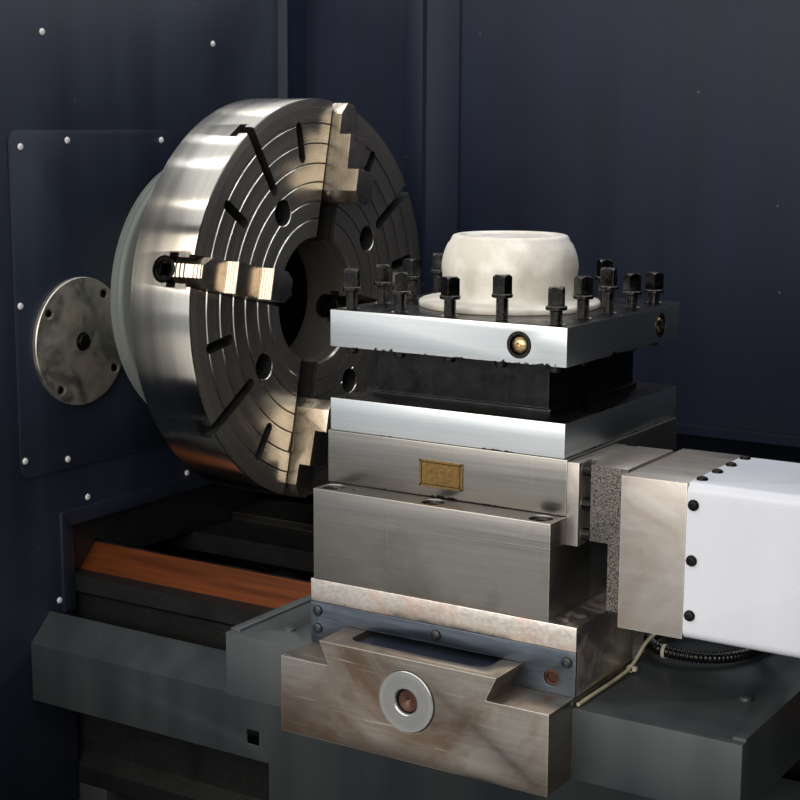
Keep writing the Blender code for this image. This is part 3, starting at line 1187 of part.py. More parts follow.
def addTurret(index):
    half = TURRET_SIDE / 2.0
    neck = half - TOOL_SLOT
    low = BASE_TOP + FIT
    turret = place("tool_turret", boxes(((-half, half), (-half, half), (low, BOTTOM_PLATE_TOP))), TURRET_STEEL, index)
    step = boxes(((-neck - 0.004, neck + 0.004), (-neck - 0.004, neck + 0.004), (BOTTOM_PLATE_TOP - BITE, BOTTOM_PLATE_TOP + 0.006)))
    fuse(turret, step, "neck_step")
    pillar = boxes(((-neck, neck), (-neck, neck), (BOTTOM_PLATE_TOP, TOP_PLATE_BOTTOM + BITE)))
    fuse(turret, pillar, "neck")
    top = boxes(((-half, half), (-half, half), (TOP_PLATE_BOTTOM, TOP_PLATE_TOP)))
    fuse(turret, top, "top_plate")
    nozzles = bmesh.new()
    level = (TOP_PLATE_BOTTOM + TOP_PLATE_TOP) / 2.0 - 0.001
    inset = 0.009
    ballOut = half - inset + 0.0055
    for turn in range(4):
        spot = Matrix.Rotation(turn * SQUARE, 3, "Z") @ Vector((0.093, -half, level))
        axis = "Y" if turn % 2 == 0 else "X"
        cylinder(nozzles, axis, spot, NOZZLE_R, nozzleSpan(spot, axis, inset, BITE), 20)
    cut(turret, nozzles, "nozzle_seats")
    balls = bmesh.new()
    for turn in range(4):
        spot = Matrix.Rotation(turn * SQUARE, 3, "Z") @ Vector((0.093, -half, level))
        axis = "Y" if turn % 2 == 0 else "X"
        cylinder(balls, axis, spot, NOZZLE_R * 0.6, nozzleSpan(spot, axis, inset + 0.003, -0.002), 12)
    fuse(turret, balls, "nozzles")
    shanks, collars, squares = bmesh.new(), bmesh.new(), bmesh.new()
    side = CLAMP_HEAD_HALF
    for x, y, top, turn in clampPlaces():
        head = top - CLAMP_HEAD
        cylinder(shanks, "Z", (x, y, 0), CLAMP_SHANK_R, (TOP_PLATE_BOTTOM - CLAMP_TIP, head - CLAMP_COLLAR + FIT), 8)
        cylinder(collars, "Z", (x, y, 0), CLAMP_COLLAR_R, (head - CLAMP_COLLAR, head), 10)
        one = boxes(((-side, side), (-side, side), (head - 0.001, top)))
        bmesh.ops.rotate(one, cent=(0, 0, 0), matrix=Matrix.Rotation(turn, 3, "Z"), verts=one.verts)
        bmesh.ops.translate(one, vec=(x, y, 0), verts=one.verts)
        mesh = bpy.data.meshes.new("clamp_head")
        one.to_mesh(mesh)
        one.free()
        squares.from_mesh(mesh)
        bpy.data.meshes.remove(mesh)
    fuse(turret, shanks, "clamp_shanks")
    fuse(turret, collars, "clamp_collars")
    fuse(turret, squares, "clamp_heads")
    low = TOP_PLATE_TOP + FIT
    profile = [
        (0.0, low), (CAP_FLANGE_R, low), (CAP_FLANGE_R, low + 0.005), (CAP_FLANGE_R - 0.003, low + 0.008),
        (CAP_BULGE_R - 0.001, low + 0.009), (CAP_BULGE_R - 0.002, low + 0.020), (CAP_BULGE_R, low + 0.045),
        (CAP_BULGE_R - 0.002, low + 0.058), (CAP_TOP_R + 0.003, low + 0.072), (CAP_TOP_R - 0.002, CAP_TOP - 0.003),
        (CAP_TOP_R - 0.007, CAP_TOP), (0.0, CAP_TOP),
    ]
    place("turret_cap", turned(profile, 32, "Z", closed=False), NYLON, index, smooth=True)


def nozzleSpan(spot, axis, inside, outside):
    """Ends of a nozzle along its axis, from inside the plate to past its face."""
    at = spot["XYZ".index(axis)]
    way = 1.0 if at > 0 else -1.0
    ends = sorted((at - way * inside, at + way * outside))
    return ends[0], ends[1]


def addTurretMotor(slide):
    flangeX = (RISER_RIGHT + FIT, RISER_RIGHT + FIT + FLANGE)
    y = (TURRET_FRONT, FLANGE_BACK - 0.034)
    top = BASE_TOP - 0.002
    adapter = place("motor_adapter", boxes((flangeX, y, (FLANGE_BOTTOM, top))), ROUGH_CAST, slide)
    body = boxes(((flangeX[1] - BITE, HOUSING_LEFT + BITE), (TURRET_FRONT + 0.030, ADAPTER_BACK), (ADAPTER_STEP_Z, top - 0.001)))
    fuse(adapter, body, "neck")
    cheek = boxes(((ADAPTER_LEFT, HOUSING_LEFT + BITE), (TURRET_FRONT, ADAPTER_BACK), (ADAPTER_STEP_Z, top)))
    fuse(adapter, cheek, "body")
    foot = boxes(((ADAPTER_STEP_X, HOUSING_LEFT + BITE), (TURRET_FRONT, ADAPTER_BACK), (ADAPTER_FOOT, ADAPTER_STEP_Z + BITE)))
    fuse(adapter, foot, "foot")
    head = boxes(((HOUSING_LEFT, HOUSING_RIGHT), (HOUSING_FRONT, HOUSING_BACK), (HOUSING_BOTTOM, HOUSING_TOP)))
    fuse(adapter, head, "box")
    bolts = bmesh.new()
    for z in (-0.080, -0.117, -0.150):
        cylinder(bolts, "X", (0, TURRET_FRONT + 0.012, z), HOUSING_BOLT_R, (flangeX[1] - BITE, ADAPTER_LEFT - 0.003), 12)
    fuse(adapter, bolts, "bolts")
    left = HOUSING_RIGHT + FIT
    y = (HOUSING_FRONT, HOUSING_BACK)
    outline = roundedRectangle(y, (HOUSING_BOTTOM, HOUSING_TOP + 0.001), COVER_ROUND)
    cover = place("turret_motor_cover", swept(outline, "X", (left, COVER_END)), WHITE_PAINT, slide)
    z = (HOUSING_BOTTOM, HOUSING_TOP)
    cut(cover, shell(bmesh.new(), (left, COVER_END), y, z, ("-x",), SHEET), "inside")
    screws = bmesh.new()
    at = left + 0.007
    for height in (-0.097, -0.154, -0.211):
        cylinder(screws, "Y", (at, 0, height), 0.0052, (HOUSING_FRONT - 0.0030, HOUSING_FRONT + 0.001), 8)
        cylinder(screws, "Y", (at, 0, height), 0.0052, (HOUSING_BACK - 0.001, HOUSING_BACK + 0.0030), 8)
    for depth in (-0.571, -0.530, -0.491, -0.450):
        cylinder(screws, "Z", (at, depth, 0), 0.0052, (HOUSING_TOP - 0.0005, HOUSING_TOP + 0.0035), 8)
    fuse(cover, screws, "screws")
    middle = (HOUSING_FRONT + HOUSING_BACK) / 2.0
    level = (HOUSING_TOP + HOUSING_BOTTOM) / 2.0
    motor = cylinder(bmesh.new(), "X", (0, middle, level), 0.062, (left, COVER_END - 0.060), 32)
    place("turret_motor", motor, BLACK_PAINT, slide, smooth=True)


def cord(name, points, radius, finish, parent, resolution=3):
    """A cord's route as a round tube through hand-placed points."""
    curve = bpy.data.curves.new(name, "CURVE")
    curve.dimensions = "3D"
    curve.bevel_depth = radius
    curve.bevel_resolution = resolution
    curve.use_fill_caps = True
    line = curve.splines.new("POLY")
    line.points.add(len(points) - 1)
    for spot, point in zip(line.points, points):
        spot.co = (*point, 1.0)
    curve.materials.append(finish)
    piece = bpy.data.objects.new(name, curve)
    MACHINE.objects.link(piece)
    piece.parent = parent
    return piece


def smoothed(points, rounds):
    """Rounds a hand-placed route by cutting its corners, keeping both ends."""
    for _ in range(rounds):
        rounder = [points[0]]
        for a, b in zip(points, points[1:]):
            rounder.append(tuple(p * 0.75 + q * 0.25 for p, q in zip(a, b)))
            rounder.append(tuple(p * 0.25 + q * 0.75 for p, q in zip(a, b)))
        rounder.append(points[-1])
        points = rounder
    return points


def addCords(slide):
    conduit = [
        (0.930, -0.455, HOUSING_BOTTOM - FIT), (0.930, -0.455, -0.275), (0.900, -0.400, -0.292), (0.850, -0.345, -0.300),
        (0.800, -0.330, -0.304), (0.757, -0.360, -0.3048), (0.756, -0.420, -0.3048), (0.790, -0.446, -0.3080),
        (0.850, -0.425, -0.3120), (0.880, -0.350, -0.3122), (0.870, -0.240, -0.3122), (0.850, -0.120, -0.3122),
        (0.848, 0.020, -0.3122), (0.850, 0.200, -0.3122),
    ]
    cord("motor_conduit", smoothed(conduit, 1), 0.0070, CONDUIT, slide, 1)
    line = [
        (0.812, -0.440, HOUSING_BOTTOM - FIT), (0.812, -0.440, -0.262), (0.774, -0.452, -0.290), (0.7715, -0.486, -0.3160),
        (0.7700, -0.530, -0.3190), (0.7690, -0.580, -0.3190), (0.7690, -0.618, -0.3190),
    ]
    cord("oil_line", smoothed(line, 1), 0.0025, OIL_LINE, slide, 1)


# Tailstock

def addTailstock(base, quill, wheel, centre):
    """Pieces are given from the left end of the tailstock's base."""
    length = TAIL_LENGTH
    half = TAIL_HALF_WIDTH
    low = BED_SHELF + FIT
    nose = 0.078
    side = [
        (-half, low), (-half, -0.330), (-0.100, -0.300), (-nose, -0.030), (-nose + 0.012, 0.030),
        (-0.030, nose), (0.030, nose), (nose - 0.012, 0.030), (nose, -0.030), (0.100, -0.300), (half, -0.330),
        (half, low),
    ]
    body = place("tailstock_body", swept(side, "X", (0.0, length)), CAST, base)
    foot = boxes(((0.0, length), (V_RIDGE - 0.042, half), (low, low + 0.045)))
    fuse(body, foot, "front_foot")
    notch = V_TOP - BED_SHELF + SLIDING
    groove = [
        (V_RIDGE - notch - V_CREST_HALF - 0.004, BED_SHELF - 0.003), (V_RIDGE + notch + V_CREST_HALF + 0.004, BED_SHELF - 0.003),
        (V_RIDGE + V_CREST_HALF + 0.001, V_TOP + 0.001), (V_RIDGE - V_CREST_HALF - 0.001, V_TOP + 0.001),
    ]
    cut(body, swept(groove, "X", (-BITE, length + BITE)), "way_groove")
    bore = cylinder(bmesh.new(), "X", (0, 0, 0), QUILL_R + RUNNING, (-BITE, length + BITE), SHAFT_SEGMENTS)
    cut(body, bore, "quill_bore")
    quillEnd = QUILL_LENGTH - QUILL_OUT
    nutR = QUILL_SCREW_R + RUNNING
    profile = [
        (0.0, -QUILL_OUT + 0.05), (0.014, -QUILL_OUT + 0.05), (0.018, -QUILL_OUT), (QUILL_R - 0.003, -QUILL_OUT),
        (QUILL_R, -QUILL_OUT + 0.003), (QUILL_R, quillEnd), (nutR, quillEnd), (nutR, 0.022), (0.0, 0.022),
    ]
    place("tailstock_quill", turned(profile, SHAFT_SEGMENTS, closed=False), STEEL, quill, smooth=True)
    low = -QUILL_OUT - RUNNING
    profile = [
        (0.0, low - CENTRE_LENGTH), (CENTRE_R, low - CENTRE_LENGTH + 0.052), (CENTRE_R, low), (0.015, low),
        (0.012, low + 0.045), (0.0, low + 0.045),
    ]
    place("live_centre", turned(profile, SHAFT_SEGMENTS, closed=False), STEEL, centre, smooth=True)
    at = length + FIT
    hub = [
        (0.0, at), (0.062, at), (0.062, at + 0.012), (0.026, at + 0.012), (0.026, at + 0.044), (0.0, at + 0.044),
    ]
    hand = place("tailstock_handwheel", turned(hub, 24, closed=False), BLACK_PAINT, wheel, smooth=True)
    rim = turned(arc(WHEEL_R, at + 0.030, 0.011, 0, 300, 5), 28)
    fuse(hand, rim, "rim")
    spokes = bmesh.new()
    for turn in range(3):
        arm = box(bmesh.new(), (at + 0.024, at + 0.036), (-0.009, 0.009), (0.020, WHEEL_R))
        bmesh.ops.rotate(arm, cent=(0, 0, 0), matrix=Matrix.Rotation(math.radians(120) * turn, 3, "X"), verts=arm.verts)
        mesh = bpy.data.meshes.new("spoke")
        arm.to_mesh(mesh)
        arm.free()
        spokes.from_mesh(mesh)
        bpy.data.meshes.remove(mesh)
    fuse(hand, spokes, "spokes")
    inside = cylinder(bmesh.new(), "X", (0, 0, 0), QUILL_SCREW_R, (0.030, at + 0.004), 24)
    fuse(hand, inside, "screw")


# Building

for leftover in list(bpy.data.objects):
    bpy.data.objects.remove(leftover, do_unlink=True)
MACHINE = bpy.data.collections.new("cnc_turning_lathe")
HELPERS = bpy.data.collections.new("cutters")
HELPERS.hide_render = True
bpy.context.scene.collection.children.link(MACHINE)
bpy.context.scene.collection.children.link(HELPERS)

STEEL = material("turned_steel", "9a9a96", 0.25, 1.0)
BRIGHT_STEEL = material("bright_turned_steel", "c2c4c4", 0.15, 1.0)
GROUND_STEEL = material("ground_steel", "8a8882", 0.35, 1.0)
SCRAPED_STEEL = material("scraped_steel", "b0aaa2", 0.45, 1.0)
NOSE_STEEL = material("brown_grey_steel", "7d736b", 0.40, 1.0)
TURRET_STEEL = material("pale_ground_steel", "c5cdd4", 0.35, 0.9)
WORN_STEEL = material("stained_steel", "8f918a", 0.50, 0.8)
JAW_STEEL = material("hardened_jaw_steel", "a89f94", 0.28, 1.0)
BLACK_OXIDE = material("black_oxide_steel", "1a1a1c", 0.40, 0.8)
CAST = material("machined_cast_iron", "55585a", 0.60, 0.6)
ROUGH_CAST = material("rough_cast_iron", "7a7874", 0.80, 0.5)
RING_PAINT = material("pale_grey_green_paint", "9aa39c", 0.45, 0.0)
NAVY_PAINT = material("dark_navy_grey_paint", "23272f", 0.50, 0.0)
PURPLE_PAINT = material("dark_violet_grey_paint", "26262f", 0.50, 0.0)
GREEN_PAINT = material("dark_green_grey_paint", "2f3836", 0.45, 0.0)
DARK_PAINT = material("charcoal_paint", "2b2e30", 0.55, 0.0)
BLACK_PAINT = material("black_paint", "141416", 0.45, 0.0)
WHITE_PAINT = material("white_powder_coat", "e4e8ee", 0.40, 0.0)
SLATE = material("slate_blue_steel", "4a4e59", 0.40, 0.7)
BRASS = material("etched_brass", "b08d3c", 0.35, 1.0)
NYLON = material("off_white_nylon", "dcdcd0", 0.45, 0.0)
CONDUIT = material("black_conduit", "101012", 0.35, 0.0)
OIL_LINE = material("yellowed_nylon_tube", "c9c3a4", 0.35, 0.0)
RUBBER = material("belt_rubber", "161616", 0.80, 0.0)
PANEL_GREY = material("panel_grey", "8c9298", 0.45, 0.0)

lathe = empty("lathe", location=(
    -(LEFT_END + RIGHT_END) / 2.0, -(FRONT + BACK) / 2.0, SPINDLE_HEIGHT,
))
addBed(lathe)
addPedestals(lathe)
addChipTray(lathe)
addFrontWayCover(lathe)
addHeadstock(lathe)
wallFace = addGuardWall(lathe)
plateFace = addInsetPlate(lathe, wallFace)
addRoundCover(lathe, plateFace)
addBackGuard(lathe)
addCabinets(lathe)
addFront(lathe)
addDoors(lathe)
addDrive(lathe, lathe)

spindleAxis = empty("spindle_axis", lathe)
chuckClock = empty("chuck_clock", spindleAxis, turn=(CHUCK_CLOCK, 0.0, 0.0))
addSpindle(chuckClock)
addChuck(chuckClock)
addJaws(chuckClock)
addJawScrews(chuckClock)

carriage = empty("carriage_slide", lathe)
addSaddle(carriage)
addSlotCover(carriage)
addWings(carriage)
addNutBracket(carriage)
addLeadScrew(lathe, lathe)
addCrossScrew(carriage, carriage)

crossSlide = empty("cross_slide_axis", carriage)
addCrossSlide(crossSlide)
addRiser(crossSlide)
addTurretBase(crossSlide)
addTurretMotor(crossSlide)
addCords(crossSlide)
turretAxis = empty("turret_axis", crossSlide, (
    TURRET_LEFT + TURRET_SIDE / 2.0, TURRET_FRONT + TURRET_SIDE / 2.0, 0.0,
))
addTurret(turretAxis)

tailSlide = empty("tailstock_slide", lathe, (TAIL_LEFT, 0.0, 0.0))
quillSlide = empty("quill_slide", tailSlide)
wheelAxis = empty("handwheel_axis", tailSlide)
centreAxis = empty("live_centre_axis", quillSlide)
addTailstock(tailSlide, quillSlide, wheelAxis, centreAxis)
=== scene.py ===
# CNC turning lathe seen through its open doors: finer pieces, finishes, floor, lamps and camera
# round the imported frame. Lengths are metres.

import functools
import json
import math
import random

import bmesh
import bpy
from mathutils import Matrix, Vector


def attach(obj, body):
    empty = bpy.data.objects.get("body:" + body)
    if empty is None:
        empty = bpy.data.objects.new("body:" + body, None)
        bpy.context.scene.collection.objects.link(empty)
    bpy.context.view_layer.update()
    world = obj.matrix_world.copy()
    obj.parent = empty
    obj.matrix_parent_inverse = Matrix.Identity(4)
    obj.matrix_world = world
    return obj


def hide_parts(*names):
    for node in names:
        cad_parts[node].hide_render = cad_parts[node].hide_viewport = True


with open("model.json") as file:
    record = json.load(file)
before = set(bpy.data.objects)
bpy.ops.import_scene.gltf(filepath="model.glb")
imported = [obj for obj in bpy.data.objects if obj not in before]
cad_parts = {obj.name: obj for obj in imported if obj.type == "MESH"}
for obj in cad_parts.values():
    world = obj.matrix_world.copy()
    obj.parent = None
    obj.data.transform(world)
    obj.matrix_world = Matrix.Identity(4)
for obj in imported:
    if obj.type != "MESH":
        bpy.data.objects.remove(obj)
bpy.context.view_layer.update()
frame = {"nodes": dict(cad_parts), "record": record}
nodes = frame["nodes"]
print("frame loaded:", len(nodes), "nodes")

# the spindle axis where it leaves the chuck's face; every size below is measured from here
spindle = Vector((-0.6, 0.1325, 1.13))
clock = math.radians(-12.7)          # how far the chuck stands turned
square = math.pi / 2.0
random.seed(7)


def toLinear(code):
    channels = [int(code[i:i + 2], 16) / 255.0 for i in (0, 2, 4)]
    return tuple(c / 12.92 if c <= 0.04045 else ((c + 0.055) / 1.055) ** 2.4 for c in channels) + (1.0,)


def feed(node, inputs):
    # fills a node's inputs; another node stands for its first live output
    for name, value in inputs.items():
        if isinstance(value, bpy.types.Node):
            value = next(output for output in value.outputs if output.enabled)
        if isinstance(value, bpy.types.NodeSocket):
            node.id_data.links.new(value, node.inputs[name])
        else:
            node.inputs[name].default_value = value


def addNode(tree, kind, inputs=None, stops=(), **settings):
    # stops are the colours of a ramp
    made = tree.nodes.new("ShaderNode" + kind)
    for name, value in settings.items():
        setattr(made, name, value)
    feed(made, inputs or {})
    for index, (place, colour) in enumerate(stops):
        points = made.color_ramp.elements
        point = points[index] if index < 2 else points.new(place)
        point.position = place
        point.color = toLinear(colour)
    return made


def newFinish(name):
    made = bpy.data.materials.new(name)
    made.use_nodes = True
    add = functools.partial(addNode, made.node_tree)
    return made, add, made.node_tree.nodes["Principled BSDF"], add("TexCoord").outputs["Object"]


def linked(made):
    bpy.context.scene.collection.objects.link(made)
    return made


def moved(bm, matrix):
    bmesh.ops.transform(bm, matrix=matrix, verts=bm.verts)
    return bm


def axisTurn(axis):
    return {"X": Matrix.Rotation(square, 4, "Y"), "Y": Matrix.Rotation(-square, 4, "X"),
        "Z": Matrix.Identity(4)}[axis]


def turned(profile, segments, axis="X", centre=(0.0, 0.0, 0.0), closed=True):
    # spins (radius, along) points about an axis; an open profile starts and ends on it
    bm = bmesh.new()
    verts = [bm.verts.new((r, 0.0, along)) for r, along in profile]
    edges = [bm.edges.new(pair) for pair in zip(verts, verts[1:])]
    if closed:
        edges.append(bm.edges.new((verts[-1], verts[0])))
    bmesh.ops.spin(bm, geom=verts + edges, cent=(0, 0, 0), axis=(0, 0, 1), angle=2.0 * math.pi, steps=segments,
        use_merge=True)
    bmesh.ops.remove_doubles(bm, verts=bm.verts, dist=1e-6)
    return moved(bm, Matrix.Translation(Vector(centre)) @ axisTurn(axis))


def prism(outline, axis, low, high, into=None):
    # an outline swept along an axis: (y, z) points along X, (x, z) along Y, (x, y) along Z
    bm = into or bmesh.new()
    spot = {"X": lambda a, b: (low, a, b), "Y": lambda a, b: (a, low, b), "Z": lambda a, b: (a, b, low)}[axis]
    face = bm.faces.new([bm.verts.new(spot(a, b)) for a, b in outline])
    swept = bmesh.ops.extrude_face_region(bm, geom=[face])
    far = [v for v in swept["geom"] if isinstance(v, bmesh.types.BMVert)]
    bmesh.ops.translate(bm, verts=far, vec=Vector([(high - low) * (letter == axis) for letter in "XYZ"]))
    return bm


def block(x, y, z):
    bm = bmesh.new()
    size = Matrix.Diagonal((x[1] - x[0], y[1] - y[0], z[1] - z[0], 1.0))
    middle = Matrix.Translation(Vector((sum(x), sum(y), sum(z))) / 2.0)
    bmesh.ops.create_cube(bm, size=1.0, matrix=middle @ size)
    return bm


def rod(axis, centre, radius, low, high, segments=32, into=None, tip=None):
    bm = into or bmesh.new()
    at = list(centre)
    at["XYZ".index(axis)] = (low + high) / 2.0
    bmesh.ops.create_cone(bm, cap_ends=True, segments=segments, radius1=radius,
        radius2=radius if tip is None else tip, depth=high - low, matrix=Matrix.Translation(Vector(at))
        @ axisTurn(axis))
    return bm


def arc(cx, cy, radius, start, end, steps):
    turns = [math.radians(start + (end - start) * i / steps) for i in range(steps + 1)]
    return [(cx + radius * math.cos(t), cy + radius * math.sin(t)) for t in turns]


def bevelled(bm, width, segments=2, angle=30.0, keep=None):
    # rounds the sharp edges; keep picks which of them
    bmesh.ops.recalc_face_normals(bm, faces=bm.faces)
    sharp = [e for e in bm.edges if len(e.link_faces) == 2 and e.calc_face_angle() > math.radians(angle)
        and (keep is None or keep(e))]
    bmesh.ops.bevel(bm, geom=sharp, offset=width, offset_type="OFFSET", affect="EDGES", segments=segments,
        profile=0.5, material=-1, clamp_overlap=True)
    return bm


def repeated(bm, matrices):
    copies = [moved(bm.copy(), matrix) for matrix in matrices]
    bm.clear()
    return merged(bm, *copies)


def merged(target, *others):
    for other in others:
        mesh = bpy.data.meshes.new("copy")
        other.to_mesh(mesh)
        other.free()
        target.from_mesh(mesh)
        bpy.data.meshes.remove(mesh)
    return target


def cutAll(bm, *cutters, operation="DIFFERENCE"):
    # one exact Boolean after another, each applied to the mesh
    made = linked(bpy.data.objects.new("shape", toMesh(bm, "shape")))
    for cutter in cutters:
        cutBy = linked(bpy.data.objects.new("cutter", toMesh(cutter, "cutter")))
        step = made.modifiers.new("cut", "BOOLEAN")
        step.operation, step.solver, step.object = operation, "EXACT", cutBy
        done = bpy.data.meshes.new_from_object(made.evaluated_get(bpy.context.evaluated_depsgraph_get()))
        made.modifiers.clear()
        made.data = done
        bpy.data.objects.remove(cutBy)
    result = bmesh.new()
    result.from_mesh(made.data)
    bpy.data.objects.remove(made)
    return result


def toMesh(bm, name, smoothAngle=35.0, clean=True):
    if clean:
        bmesh.ops.recalc_face_normals(bm, faces=bm.faces)
    for face in bm.faces:
        face.smooth = True
    for edge in bm.edges:
        edge.smooth = not (len(edge.link_faces) == 2 and edge.calc_face_angle() > math.radians(smoothAngle))
    mesh = bpy.data.meshes.new(name)
    bm.to_mesh(mesh)
    bm.free()
    return mesh


def addPiece(name, bm, finish, body, turn=None, smoothAngle=35.0, clean=True, stands=()):
    # puts a shape made round the spindle axis in its place, on its body; finish names one or more finishes
    moved(bm, Matrix.Translation(spindle) @ (turn or Matrix.Identity(4)))
    mesh = toMesh(bm, name, smoothAngle, clean)
    for one in finish.split():
        mesh.materials.append(finishes[one])
    piece = linked(bpy.data.objects.new(name, mesh))
    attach(piece, body)
    if stands:
        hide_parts(*stands)


bodyOf = {node: body for body, members in frame["record"]["behaviour"]["bodies"].items() for node in members}


def fine(node, bm, finish, turn=None, smoothAngle=35.0, clean=True):
    # a finer shape in a CAD node's place
    addPiece(node + "_fine", bm, finish, bodyOf[node], turn, smoothAngle, clean, [node])


def nodeShape(name):
    # a merged copy of a CAD node, measured from the spindle axis
    bm = bmesh.new()
    bm.from_mesh(nodes[name].data)
    bmesh.ops.remove_doubles(bm, verts=bm.verts, dist=2e-5)
    bmesh.ops.dissolve_limit(bm, angle_limit=math.radians(0.6), verts=bm.verts, edges=bm.edges)
    bmesh.ops.translate(bm, verts=bm.verts, vec=-spindle)
    return bm


def painted(bm, pick):
    # pick gives each face the number of its finish
    for face in bm.faces:
        face.material_index = pick(face)
    return bm


def dress(name, finish, width=0.001, segments=2, angle=30.0, paintBy=None):
    # a CAD node with rounded edges; paintBy picks the finish of each face
    bm = nodeShape(name)
    if width:
        bevelled(bm, width, segments, angle)
    if paintBy:
        painted(bm, paintBy)
    fine(name, bm, finish, clean=False)


def paintFinish(name, **look):
    # sprayed enamel over sheet steel: an even dark coat with a fine orange peel, a film of dried
    # coolant that gathers in soft clouds and runs, and a few light specks
    made, add, shader, coord = newFinish(name)
    clouds = add("TexNoise", {"Vector": coord, "Scale": 2.4, "Detail": 6.0, "Roughness": 0.62})
    flow = add("Mapping", {"Vector": coord, "Scale": (16.0, 16.0, 1.1)})
    runs = add("TexNoise", {"Vector": flow, "Scale": 1.0, "Detail": 3.0, "Roughness": 0.4})
    film = add("Math", {0: clouds, 1: runs}, operation="MULTIPLY")
    coat = add("ValToRGB", {"Fac": film}, stops=[(0.14, look["base"]), (0.46, look["film"])])
    cells = add("TexVoronoi", {"Vector": coord, "Scale": look.get("specks", 34.0)})
    near = add("Math", {0: cells, 1: 0.035}, operation="LESS_THAN")
    rare = add("Math", {0: cells.outputs["Color"], 1: 0.62}, operation="GREATER_THAN")
    speck = add("Math", {0: near, 1: rare}, operation="MULTIPLY")
    low, high = look["roughness"]
    peel = add("TexNoise", {"Vector": coord, "Scale": 400.0, "Detail": 2.0})      # cells of about 2.5 mm
    feed(shader, {
        "Base Color": add("Mix", {0: speck, 6: coat, 7: toLinear(look["speck"])}, data_type="RGBA"),
        "Roughness": add("MapRange", {"Value": film, "From Min": 0.1, "From Max": 0.45, "To Min": low,
                "To Max": high}),
        "Normal": add("Bump", {"Height": peel, "Strength": look.get("peel", 0.25), "Distance": 0.0004}),
        "IOR": 1.5, "Specular IOR Level": look.get("specular", 0.5)})
    return made


def groundFinish(name, **look):
    # steel ground or milled flat: fine parallel marks, cloudy handling stains and a few scratches
    made, add, shader, coord = newFinish(name)
    lay = add("Mapping", {"Vector": coord, "Scale": look["lay"]})
    marks = add("TexNoise", {"Vector": lay, "Scale": 1.0, "Detail": 4.0, "Roughness": 0.7})
    metal = add("ValToRGB", {"Fac": marks}, stops=[(0.3, look["dark"]), (0.7, look["clean"])])
    cloud = add("TexNoise", {"Vector": coord, "Scale": look.get("cloud", 9.0), "Detail": 8.0, "Roughness": 0.6,
            "Distortion": 0.8})
    first, last = look["stained"]
    stain = add("MapRange", {"Value": cloud, "From Min": first, "From Max": last, "To Min": 0.0,
            "To Max": look.get("depth", 0.75)})
    nicks = add("Mapping", {"Vector": coord, "Scale": look.get("nicks", (260.0, 260.0, 7.0)),
            "Rotation": (0.2, 0.5, 0.3)})
    thin = add("TexNoise", {"Vector": nicks, "Scale": 1.0, "Detail": 1.0})
    scratch = add("MapRange", {"Value": thin, "From Min": 0.7, "From Max": 0.74, "To Min": 0.0,
            "To Max": look.get("scratch", 0.35)})
    colour = add("Mix", {0: stain, 6: metal, 7: toLinear(look["stain"])}, data_type="RGBA")
    colour = add("Mix", {0: scratch, 6: colour, 7: toLinear(look["clean"])}, data_type="RGBA")
    # corners and edges painted brighter, as wear and a painted highlight, broken up by the marks
    rounded = add("Bevel", {"Radius": look.get("rub", 0.0022)}, samples=4)
    face = add("NewGeometry").outputs["Normal"]
    turn = add("VectorMath", {0: rounded, 1: face}, operation="DOT_PRODUCT")
    rub = add("MapRange", {"Value": turn, "From Min": 0.99, "From Max": 0.9, "To Min": 0.0, "To Max": 1.0})
    rub = add("Math", {0: rub, 1: marks}, operation="MULTIPLY")
    colour = add("Mix", {0: rub, 6: colour, 7: toLinear(look.get("rubbed", "e2ded6"))}, data_type="RGBA")
    if "dirt" in look:
        # near-black patches, densest just above each named height and thinning upward, as (height, how far up)
        height = add("SeparateXYZ", {0: coord}).outputs["Z"]
        fineBlots = add("TexNoise", {"Vector": coord, "Scale": 150.0, "Detail": 5.0, "Roughness": 0.7})
        patch = add("TexNoise", {"Vector": coord, "Scale": 22.0, "Detail": 2.0})
        both = add("Math", {0: fineBlots, 1: patch}, operation="ADD")
        for low, reach in look["dirt"]:
            near = add("MapRange", {"Value": height, "From Min": low + reach, "From Max": low, "To Min": -0.45,
                    "To Max": 0.03})
            near = add("MapRange", {"Value": height, "From Min": low - 0.0001, "From Max": low - 0.0003,
                    "To Min": near, "To Max": -1.0})
            amount = add("Math", {0: both, 1: near}, operation="ADD")
            mask = add("MapRange", {"Value": amount, "From Min": 1.06, "From Max": 1.12})
            colour = add("Mix", {0: mask, 6: colour, 7: toLinear("1a1918")}, data_type="RGBA")
    low, high = look["roughness"]
    rough = add("MapRange", {"Value": marks, "From Min": 0.25, "From Max": 0.75, "To Min": low, "To Max": high})
    feed(shader, {
        "Base Color": colour,
        "Roughness": add("Math", {0: stain, 1: look.get("dulling", 0.18), 2: rough}, operation="MULTIPLY_ADD"),
        "Metallic": add("Math", {0: stain, 1: -look.get("oxide", 0.35), 2: 1.0}, operation="MULTIPLY_ADD"),
        "Normal": add("Bump", {"Height": marks, "Strength": look.get("bite", 0.12), "Distance": 0.0002})})
    return made


